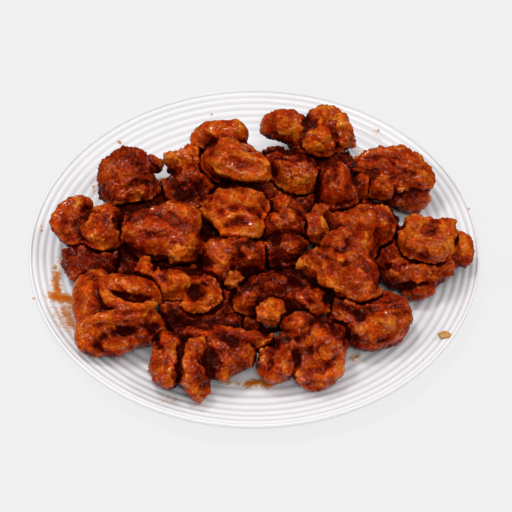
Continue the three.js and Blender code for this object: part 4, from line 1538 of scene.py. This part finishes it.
class CrustTree:
    """The Geometry Nodes tree that raises the fried crust on a piece: lumps, grain, slow waves and thin folds.

    Attributes:
        SIZES: Its inputs for sizes, in the order in which Batter gives them.
        SEED_WAY: The direction in which the seed moves the patterns.
        WARP: Scale of the noise that bends the patterns, and how far it does.
        CRESTS: Scales of the coarse and the small crests.
        GRAIN: Scale of the grain.
        WAVES: Scales of the slow waves and of the ripples on them, and what the ripples count for.
        SIDES: Scale of the patches where folds stand out or are cut in.
        FOLDS: Scale of the folds, and half their width in the noise.
        HEIGHTS: What makes lumps, grain and waves as high as their sizes say.
        CRUST: What grain, folds and waves count for in the crust that the finish reads.
    """

    SIZES = ("Lump height", "Lump size", "Grain height", "Wave height", "Fold height")
    SEED_WAY = (1.7, 0.6)
    WARP = (140.0, 0.006)
    CRESTS = (190.0, 420.0)
    GRAIN = 640.0
    WAVES = (85.0, 180.0, 0.6)
    SIDES = 55.0
    FOLDS = (125.0, 0.07)
    HEIGHTS = (2.0, 4.0, 4.0)
    CRUST = (1.6, 0.45, 1.1)

    def __init__(self) -> None:
        """Builds the tree."""
        self.nodes = NodesTree("fried_crust")
        size = self.nodes.values({name: "Float" for name in (*self.SIZES, "Seed")} | {"Sauce": "Material"})
        lump, lump_size, grain, wave, crease = (size[name] for name in self.SIZES)
        graph = self.nodes.graph
        here = graph.node("GeometryNodeInputPosition")
        offset = graph.combined(size["Seed"], *(size["Seed"] * share for share in self.SEED_WAY))
        place = graph.vector("ADD", here, offset)
        warp = {"Vector": place, "Scale": self.WARP[0], "Detail": 2.0}
        shift = graph.scaled(graph.node("ShaderNodeTexNoise", {}, warp, output="Color"), self.WARP[1])
        bent = graph.vector("ADD", place, shift)
        cells = {"Vector": bent, "Scale": 1.0 / lump_size, "Smoothness": 0.5}
        bumps = 0.5 - graph.node("ShaderNodeTexVoronoi", {"feature": "SMOOTH_F1"}, cells)
        coarse, small = (self._crests(graph.noise(bent, scale, 1.0)) for scale in self.CRESTS)
        fine = graph.noise(place, self.GRAIN, 2.0) - 0.5
        ripples = (graph.noise(bent, self.WAVES[1], 1.0) - 0.5) * self.WAVES[2]
        slow = graph.noise(place, self.WAVES[0], 2.0) + ripples - 0.5
        sides = graph.noise(place, self.SIDES, 1.0).part_of(0.42, 0.58) * 2.0 - 1.0
        off = (graph.noise(bent, self.FOLDS[0], 1.0) - 0.5).absolute()
        line = (1.0 - off.part_of(0.0, self.FOLDS[1])) * sides
        lumps = bumps * 0.5 + coarse * 0.55 + small * 0.35
        high = lumps * lump * self.HEIGHTS[0] + fine * grain * self.HEIGHTS[1]
        high = high + slow * wave * self.HEIGHTS[2] + line * crease
        push = graph.scaled(graph.node("GeometryNodeInputNormal"), high * graph.held("give"))
        crust = lumps + fine * self.CRUST[0] + line * self.CRUST[1] + slow * self.CRUST[2]
        marked = graph.stored(self.nodes.geometry(), "crust", crust)
        raised = graph.node("GeometryNodeSetPosition", {}, {"Geometry": marked, "Offset": push})
        smooth = graph.node("GeometryNodeSetShadeSmooth", {}, {"Geometry": raised})
        self.nodes.close(smooth, size["Sauce"])

    def _crests(self, pattern: Link) -> Link:
        """Turns a noise into thin sharp crests, from -0.5 between them to 0.5 on them."""
        return 0.5 - ((pattern - 0.5).absolute() * 7.0).clamped()


def give_number(mesh: bpy.types.Mesh, name: str, values: np.ndarray) -> None:
    """Stores a number at each point of a mesh."""
    mesh.attributes.new(name, "FLOAT", "POINT").data.foreach_set("value", values.astype(np.float32))


def report(thing: bpy.types.Object) -> None:
    """Says in the log how many faces a finished piece has."""
    log.info("%s: %d faces", thing.name, len(thing.data.polygons))


@dataclass(frozen=True)
class PaintedLightRule:
    """Painted light and shade in the tone: lighter on what stands out and faces up, darker in the gaps.

    Attributes:
        fine: Blur that tells small forms, in lattice steps, and the painted light and shade they add.
        broad: The same for large forms, and their share on ordinary skin.
        facing: Painted light that facing up adds, and the facing at which it adds nothing.
        probes: How far off the skin other pieces are felt for, outwards, at a slant and straight up, and the weights.
        open_share: What is felt on open skin.
        crowding: How much painted shade there is among them.
        low_crowding: The same for the low pieces.
        foot: How near the plate painted shade darkens it, and how much.
        covered: How near a piece on top a painted shadow darkens it, and how much.
        bright: Tone from which it brightens more slowly, and how slowly.
    """

    fine: tuple = (2.6, 1.1)
    broad: tuple = (6.0, 1.3, 0.10)
    facing: tuple = (0.25, 0.80)
    probes: tuple = ((3.5, 0.5), (8.0, 0.3), (14.0, 0.2))
    open_share: float = 0.10
    crowding: float = 1.7
    low_crowding: float = 2.8
    foot: tuple = (8.0, 0.12)
    covered: tuple = (3.6, 0.6)
    bright: tuple = (0.68, 0.45)


@dataclass
class Heap:
    """All the chicken, from the low pieces that the others lie on to the ones on top."""

    morsels: tuple[Morsel, ...]
    low: tuple[Morsel, ...] = LOW_MORSELS
    seed_step: float = 0.37
    rule: PaintedLightRule = PaintedLightRule()
    shares: dict[str, Block] = field(default_factory=dict)
    spread: dict[str, Block] = field(default_factory=dict)

    def _sample_solids(self, nodes: dict[str, bpy.types.Object]) -> None:
        """Samples and blurs every piece's solid.

        Args:
            nodes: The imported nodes, by name.
        """
        for morsel in self.low + self.morsels:
            mesh = nodes["chicken_" + morsel.name].data
            mesh.calc_loop_triangles()
            points = np.array([v.co for v in mesh.vertices]) / MM
            faces = np.array([t.vertices for t in mesh.loop_triangles])
            block = solid_block(points, faces, SOLID_MARGIN)
            block.values = blurred(block.values, ROUNDING / LATTICE_PITCH)
            self.shares[morsel.name] = block

    def _spread_shares(self) -> None:
        """Blurs each piece on a coarser lattice, and adds them all up, so that gaps can be told from open skin."""
        low = np.min([b.corner for b in self.shares.values()], axis=0) // CROWD_STEP - CROWD_ROOM - 1
        high = np.max([b.corner + b.values.shape for b in self.shares.values()], axis=0) // CROWD_STEP
        high += CROWD_ROOM + 2
        self.crowd = Block(low, np.zeros(high - low, np.float32), LATTICE_PITCH * CROWD_STEP)
        for name, block in self.shares.items():
            skip = (-block.corner) % CROWD_STEP
            part = block.values[skip[0] :: CROWD_STEP, skip[1] :: CROWD_STEP, skip[2] :: CROWD_STEP]
            start = (block.corner + skip) // CROWD_STEP
            spread = blurred(np.pad(part, CROWD_ROOM), CROWD_BLUR)
            wide = Block(start - CROWD_ROOM, spread, LATTICE_PITCH * CROWD_STEP)
            self.spread[name] = wide
            mine, theirs = wide.shared(self.crowd)
            self.crowd.values[theirs] += wide.values[mine]

    def _others(self, name: str) -> np.ndarray:
        """Gives how much of the other pieces is near each sample of one piece's lattice."""
        block = self.shares[name]
        places = np.stack(np.meshgrid(*block.axes(), indexing="ij"), axis=-1).reshape(-1, 3)
        rest = self.crowd.sample(places) - self.spread[name].sample(places)
        return rest.reshape(block.values.shape).astype(np.float32)

    def _rest(self, name: str) -> tuple[np.ndarray, np.ndarray]:
        """Gives the depth under the skins of the neighbours over a piece, and under it, on its lattice."""
        block = self.shares[name]
        order = [morsel.name for morsel in self.morsels + self.low]
        over = np.full(block.values.shape, -REACH, np.float32)
        under = over.copy()
        for other, share in self.shares.items():
            parts = block.shared(share) if other != name else None
            if parts:
                rest = over if order.index(other) < order.index(name) else under
                rest[parts[0]] = np.maximum(rest[parts[0]], depth_of(share.values[parts[1]]))
        return over, under

    def build(self, nodes: dict[str, bpy.types.Object], sauce: bpy.types.Material) -> None:
        """Works, meshes and dresses every piece.

        Args:
            nodes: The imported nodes, by name.
            sauce: The material.
        """
        self._sample_solids(nodes)
        self._spread_shares()
        crust = CrustTree()
        for number, morsel in enumerate(self.low + self.morsels):
            fill = LOW_FILL if morsel in self.low else OPEN_FILL
            sculpture = Sculpture(morsel, self.shares[morsel.name], self._others(morsel.name), fill)
            for stroke in morsel.strokes:
                sculpture.work(stroke)
            if morsel not in self.low:
                sculpture.sink(HOLLOWS)
            sculpture.bound(*self._rest(morsel.name))
            thing = self._mesh(sculpture)
            values = {name: size * MM for name, size in zip(CrustTree.SIZES, morsel.batter.value)}
            crust.nodes.run(thing, values | {"Seed": number * self.seed_step, "Sauce": sauce})
            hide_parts("chicken_" + morsel.name)
            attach(thing, "root")
            morsel.slot()
            report(thing)

    def _mesh(self, sculpture: Sculpture) -> bpy.types.Object:
        """Meshes a worked piece and gives its points their tone and how far its crust may move.

        Args:
            sculpture: The worked piece.

        Returns:
            The piece, without its crust.
        """
        block, rule = sculpture.block, self.rule
        points, faces = skin_of(block)
        thing = new_object("fried_" + sculpture.morsel.name, points * MM, faces)
        out = block.slope(points)
        gap = points[:, 2] - PLATE.top(np.hypot(points[:, 0], points[:, 1]))
        beside = (sculpture.own_side.sample(points) - CRUST_BESIDE[0]) / CRUST_BESIDE[1]
        room = np.minimum(beside, (gap - CRUST_ABOVE[0]) / CRUST_ABOVE[1])
        strokes, sauce = sculpture.paint(points)
        crowding = rule.low_crowding if sculpture.morsel in self.low else rule.crowding
        # The piece's own brightness, plus painted light and shade from its shape, plus the strokes.
        tone = sculpture.morsel.tone + self._light(block, points, out, crowding) + strokes
        # Painted shade near the plate, and painted shadow under the pieces that lie on top.
        tone -= rule.foot[1] * np.clip(1.0 - gap / rule.foot[0], 0.0, 1.0)
        tone -= rule.covered[1] * bell(np.clip(-sculpture.over.sample(points), 0.0, None), rule.covered[0])
        knee, slope = rule.bright
        give_number(thing.data, "tone", np.where(tone > knee, knee + slope * (tone - knee), tone))
        give_number(thing.data, "wet", sauce)
        give_number(thing.data, "give", np.clip(room, 0.0, 1.0))
        return thing

    def _light(self, block: Block, points: np.ndarray, out: np.ndarray, crowding: float) -> np.ndarray:
        """Paints light and shade into the tone: lighter where it stands out and faces up, darker in hollows and
        between pieces.

        Args:
            block: The worked piece.
            points: The points of its skin.
            out: The directions out of it.
            crowding: How much painted shade there is between pieces.

        Returns:
            What it adds to the tone at each point.
        """
        rule, up = self.rule, np.array([0.0, 0.0, 1.0])
        # Painted light on forms that stand out, painted shade where they sink in.
        body = (block.values > 0).astype(np.float32)
        blurs = (Block(block.corner, blurred(body, spread)) for spread in (rule.fine[0], rule.broad[0]))
        fine, broad = (0.5 - blur.sample(points) for blur in blurs)
        lean = out + up
        lean /= np.maximum(np.linalg.norm(lean, axis=1, keepdims=True), 0.2)
        # Painted shade where other pieces crowd round the skin.
        hidden = np.zeros(len(points))
        for (far, weight), way in zip(rule.probes, (out, lean, up)):
            hidden += weight * self.crowd.sample(points + far * way)
        # Painted light on what faces up.
        facing = rule.facing[0] * (out[:, 2] - rule.facing[1])
        among = crowding * np.clip(hidden - rule.open_share, 0.0, 1.0)
        return rule.fine[1] * fine + rule.broad[1] * (broad - rule.broad[2]) + facing - among


# ---------------- sauce and crumbs on the plate


@dataclass(frozen=True)
class Smear:
    """A film of sauce on the plate.

    Attributes:
        width: Its width.
        weight: How thick it is, from 0 to 1.
        path: Points along it, in mm across and up the sight plane.
    """

    width: float
    weight: float
    path: tuple[tuple[float, float], ...]


def plate_point(across: float, up: float) -> np.ndarray:
    """Finds where a sight line meets the top of the plate.

    Args:
        across: mm across the sight plane.
        up: mm up it.

    Returns:
        The place in mm.
    """
    eye, way = SIGHT.line(across, up)
    height = PLATE.floor
    for _ in range(PLATE_ROUNDS):
        place = eye + way * ((height - eye[2]) / way[2])
        height = float(PLATE.top(np.hypot(place[0], place[1])))
    return place


@dataclass
class SauceFilm:
    """All the smears and drops of sauce, as one thin mesh that lies on the plate.

    Attributes:
        smears: The films.
        step: Step of the mesh.
        lift: How far it lies off the glaze.
        depth: How much thicker a full film is.
        edge: Weight at which a film ends.
        spread: How far a film's weight spreads, against its width.
        margin: Room to the plate's edge, kept twice.
    """

    smears: tuple[Smear, ...]
    step: float = 0.7
    lift: float = 0.08
    depth: float = 0.35
    edge: float = 0.08
    spread: float = 0.60
    margin: float = 2.0

    def build(self, sauce: bpy.types.Material) -> bpy.types.Object:
        """Lays the films.

        Args:
            sauce: Their material.

        Returns:
            The mesh.
        """
        reach = PLATE.radius - self.margin
        line = np.arange(-reach, reach, self.step)
        x, y = np.meshgrid(line, line, indexing="ij")
        film = np.zeros(x.shape)
        flat = np.stack((x.ravel(), y.ravel(), np.zeros(x.size)), axis=1)
        for smear in self.smears:
            picks = np.stack([plate_point(*pick) for pick in eased_path(np.array(smear.path, float), PATH_STEPS)])
            picks[:, 2] = 0.0
            distance, _ = path_distance(flat, picks)
            part = smear.weight * bell(distance, smear.width * self.spread)
            film = np.maximum(film, part.reshape(x.shape))
        wet = film > self.edge
        cell = wet[:-1, :-1] & wet[1:, :-1] & wet[1:, 1:] & wet[:-1, 1:]
        cell &= np.hypot(x, y)[:-1, :-1] < reach - self.margin
        i, j = np.nonzero(cell)
        count = x.shape[1]
        ring = np.stack((i * count + j, (i + 1) * count + j, (i + 1) * count + j + 1, i * count + j + 1), axis=1)
        used, faces = np.unique(ring, return_inverse=True)
        faces = faces.reshape(ring.shape)
        flat, share = flat[used], film.ravel()[used]
        ground = PLATE.top(np.hypot(flat[:, 0], flat[:, 1]))
        flat[:, 2] = ground + self.lift + self.depth * np.clip(share - self.edge, 0, 1)
        thing = new_object("sauce_films", flat * MM, faces)
        give_number(thing.data, "film", share)
        thing.data.materials.append(sauce)
        thing.data.polygons.foreach_set("use_smooth", [True] * len(thing.data.polygons))
        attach(thing, "root")
        return thing


@dataclass(frozen=True)
class Crumb:
    """A crumb of fried crust on the plate: half its length, and its place in mm across and up the sight plane."""

    size: float
    place: tuple[float, float]


class CrumbTree:
    """The Geometry Nodes tree that puts a crumb of crust at each point of a mesh."""

    def __init__(self) -> None:
        """Builds the tree: one rough crumb, turned and sized for each point."""
        self.nodes = NodesTree("scattered_crumbs")
        names = "Roughness", "Breadth", "Thickness", "Film"
        size = self.nodes.values({name: "Float" for name in names} | {"Sauce": "Material"})
        graph = self.nodes.graph
        ball = graph.node("GeometryNodeMeshIcoSphere", {}, {"Radius": 1.0, "Subdivisions": 4}, output="Mesh")
        here = graph.node("GeometryNodeInputPosition")
        lumps = graph.noise(here, 1.6, 3.0) - 0.5
        grown = graph.scaled(here, 1.0 + lumps * size["Roughness"])
        pressed = graph.vector("MULTIPLY", grown, graph.combined(1.0, size["Breadth"], size["Thickness"]))
        crumb = graph.node("GeometryNodeSetPosition", {}, {"Geometry": ball, "Position": pressed})
        smooth = graph.node("GeometryNodeSetShadeSmooth", {}, {"Geometry": crumb})
        spin = graph.combined(0.0, 0.0, graph.held("turn"))
        inputs = {"Points": self.nodes.geometry(), "Instance": smooth, "Rotation": spin, "Scale": graph.held("size")}
        placed = graph.node("GeometryNodeInstanceOnPoints", {}, inputs)
        real = graph.node("GeometryNodeRealizeInstances", {}, {0: placed})
        self.nodes.close(graph.stored(real, "film", size["Film"]), size["Sauce"])


@dataclass
class Crumbs:
    """All the crumbs, as one piece that lies on the plate.

    Attributes:
        crumbs: The crumbs.
        roughness: How uneven they are.
        breadth: Against their length.
        thickness: Against their length.
        sitting: How high a crumb's middle lies, in its half thicknesses.
        film: How thick the sauce on them is.
        turn_step: Turn from one to the next.
    """

    crumbs: tuple[Crumb, ...]
    roughness: float = 0.9
    breadth: float = 0.62
    thickness: float = 0.34
    sitting: float = 0.8
    film: float = 0.55
    turn_step: float = 2.4

    def build(self, sauce: bpy.types.Material) -> bpy.types.Object:
        """Puts the crumbs on the plate.

        Args:
            sauce: Their material.

        Returns:
            The piece.
        """
        places = np.stack([plate_point(*crumb.place) for crumb in self.crumbs])
        places[:, 2] += [crumb.size * self.thickness * self.sitting for crumb in self.crumbs]
        thing = new_object("sauced_crumbs", places * MM, [])
        give_number(thing.data, "size", np.array([crumb.size * MM for crumb in self.crumbs]))
        give_number(thing.data, "turn", np.arange(len(self.crumbs)) * self.turn_step)
        sizes = {"Roughness": self.roughness, "Breadth": self.breadth, "Thickness": self.thickness, "Film": self.film}
        CrumbTree().nodes.run(thing, sizes | {"Sauce": sauce})
        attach(thing, "root")
        return thing


# ---------------- the studio


@dataclass(frozen=True)
class Lamp:
    """One square softbox that faces the dish: its place in metres, its side and its power in watts."""

    name: str
    place: tuple[float, float, float]
    side: float
    power: float

    def build(self) -> None:
        """Hangs the softbox."""
        data = bpy.data.lights.new(self.name, "AREA")
        data.size = self.side
        data.energy = self.power
        lamp = bpy.data.objects.new(self.name, data)
        lamp.location = self.place
        lamp.rotation_euler = (-Vector(self.place)).to_track_quat("-Z", "Y").to_euler()
        bpy.context.scene.collection.objects.link(lamp)


@dataclass(frozen=True)
class Studio:
    """A plain pale table and soft light."""

    floor_size: float = 4.0
    floor_colour: tuple = (0.12, 0.12, 0.12, 1.0)
    floor_glow: float = 0.740
    lamps: tuple = (
        Lamp("back_left_softbox", (-0.34, 0.32, 1.20), 0.26, 4.0),
        Lamp("front_softbox", (0.15, -0.75, 1.10), 0.42, 2.5),
        Lamp("left_softbox", (-0.90, -0.15, 0.95), 0.42, 2.2),
        Lamp("right_softbox", (0.85, 0.25, 1.00), 0.42, 2.2),
    )
    world_light: float = 0.62

    def build(self) -> None:
        """Makes the table, the lamps and the surrounding light."""
        self._floor()
        for lamp in self.lamps:
            lamp.build()
        world = bpy.data.worlds.new("pale_room")
        world.use_nodes = True
        backdrop = world.node_tree.nodes["Background"]
        backdrop.inputs["Color"].default_value = WHITE
        backdrop.inputs["Strength"].default_value = self.world_light
        world.cycles_visibility.glossy = False
        bpy.context.scene.world = world
        bpy.context.scene.view_settings.view_transform = "Standard"

    def _floor(self) -> None:
        """Makes the table, which glows a little so that its shadows stay faint."""
        half = self.floor_size / 2
        corners = [(-half, -half, 0.0), (half, -half, 0.0), (half, half, 0.0), (-half, half, 0.0)]
        floor = new_object("pale_table", corners, [(0, 1, 2, 3)])
        material, graph, shader = new_surface("pale_table_paint")
        paint = {"Base Color": self.floor_colour, "Roughness": 1.0, "Specular IOR Level": 0.0}
        glow = {"Emission Color": WHITE, "Emission Strength": self.floor_glow}
        graph.feed(shader, paint | glow)
        floor.data.materials.append(material)
        floor.visible_glossy = False


SMEARS = (
    Smear(5, 0.95, ((-121, -11), (-121.5, -16), (-120.5, -22))),
    Smear(7, 1.25, ((-122.5, -24.5), (-119, -25.5), (-114.5, -26))), Smear(4, 0.55, ((-122.2, -7), (-122, -7.5))),
    Smear(6, 0.5, ((-118, -3), (-115.5, -7))), Smear(8, 0.75, ((-115.5, -32), (-114, -37), (-112, -42))),
    Smear(9, 0.4, ((-118.5, -32), (-119, -38), (-115, -43))), Smear(3.5, 0.3, ((-98, 47), (-98.5, 38))),
    Smear(3, 0.3, ((-130, 21), (-130.5, 16))), Smear(3.5, 0.5, ((-24, -75.5), (-14, -77), (-5, -78.5))),
    Smear(4.5, 1.1, ((-5, -78), (1, -77), (8, -78.5))), Smear(3.6, 0.62, ((58.5, -63), (62.5, -60.8))),
    Smear(8, 0.22, ((-56, -87.5), (-52, -87))), Smear(4, 0.26, ((72, 76.5), (76, 71))),
    Smear(3.5, 0.32, ((61, 66), (63, 63.5))), Smear(3, 0.25, ((95, -32), (96.5, -29))),
)

CRUMBS = (
    Crumb(3.8, (114.5, -48.7)), Crumb(1.5, (-83, 69)), Crumb(0.9, (-27, 86)), Crumb(0.9, (129.5, 28.6)),
    Crumb(1, (-135, -26)), Crumb(1.3, (-122.5, -7)), Crumb(1.2, (61.5, -61.5)), Crumb(0.9, (74.5, 76.5)),
    Crumb(0.8, (-130.5, 15.5)), Crumb(1.1, (-117.5, -35)), Crumb(0.9, (-99, 42)), Crumb(1.3, (3, -78)),
)


def main() -> None:
    """Loads the frame, builds every piece in order and lights the scene."""
    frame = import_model()
    SIGHT.build()
    report(Plate().build(GlazeFinish().build()))
    Heap(MORSELS).build(frame["nodes"], SauceFinish().build())
    report(SauceFilm(SMEARS).build(SmearFinish().build()))
    report(Crumbs(CRUMBS).build(GOLDEN_CRUST.build()))
    Studio().build()


if __name__ == "__main__":
    main()
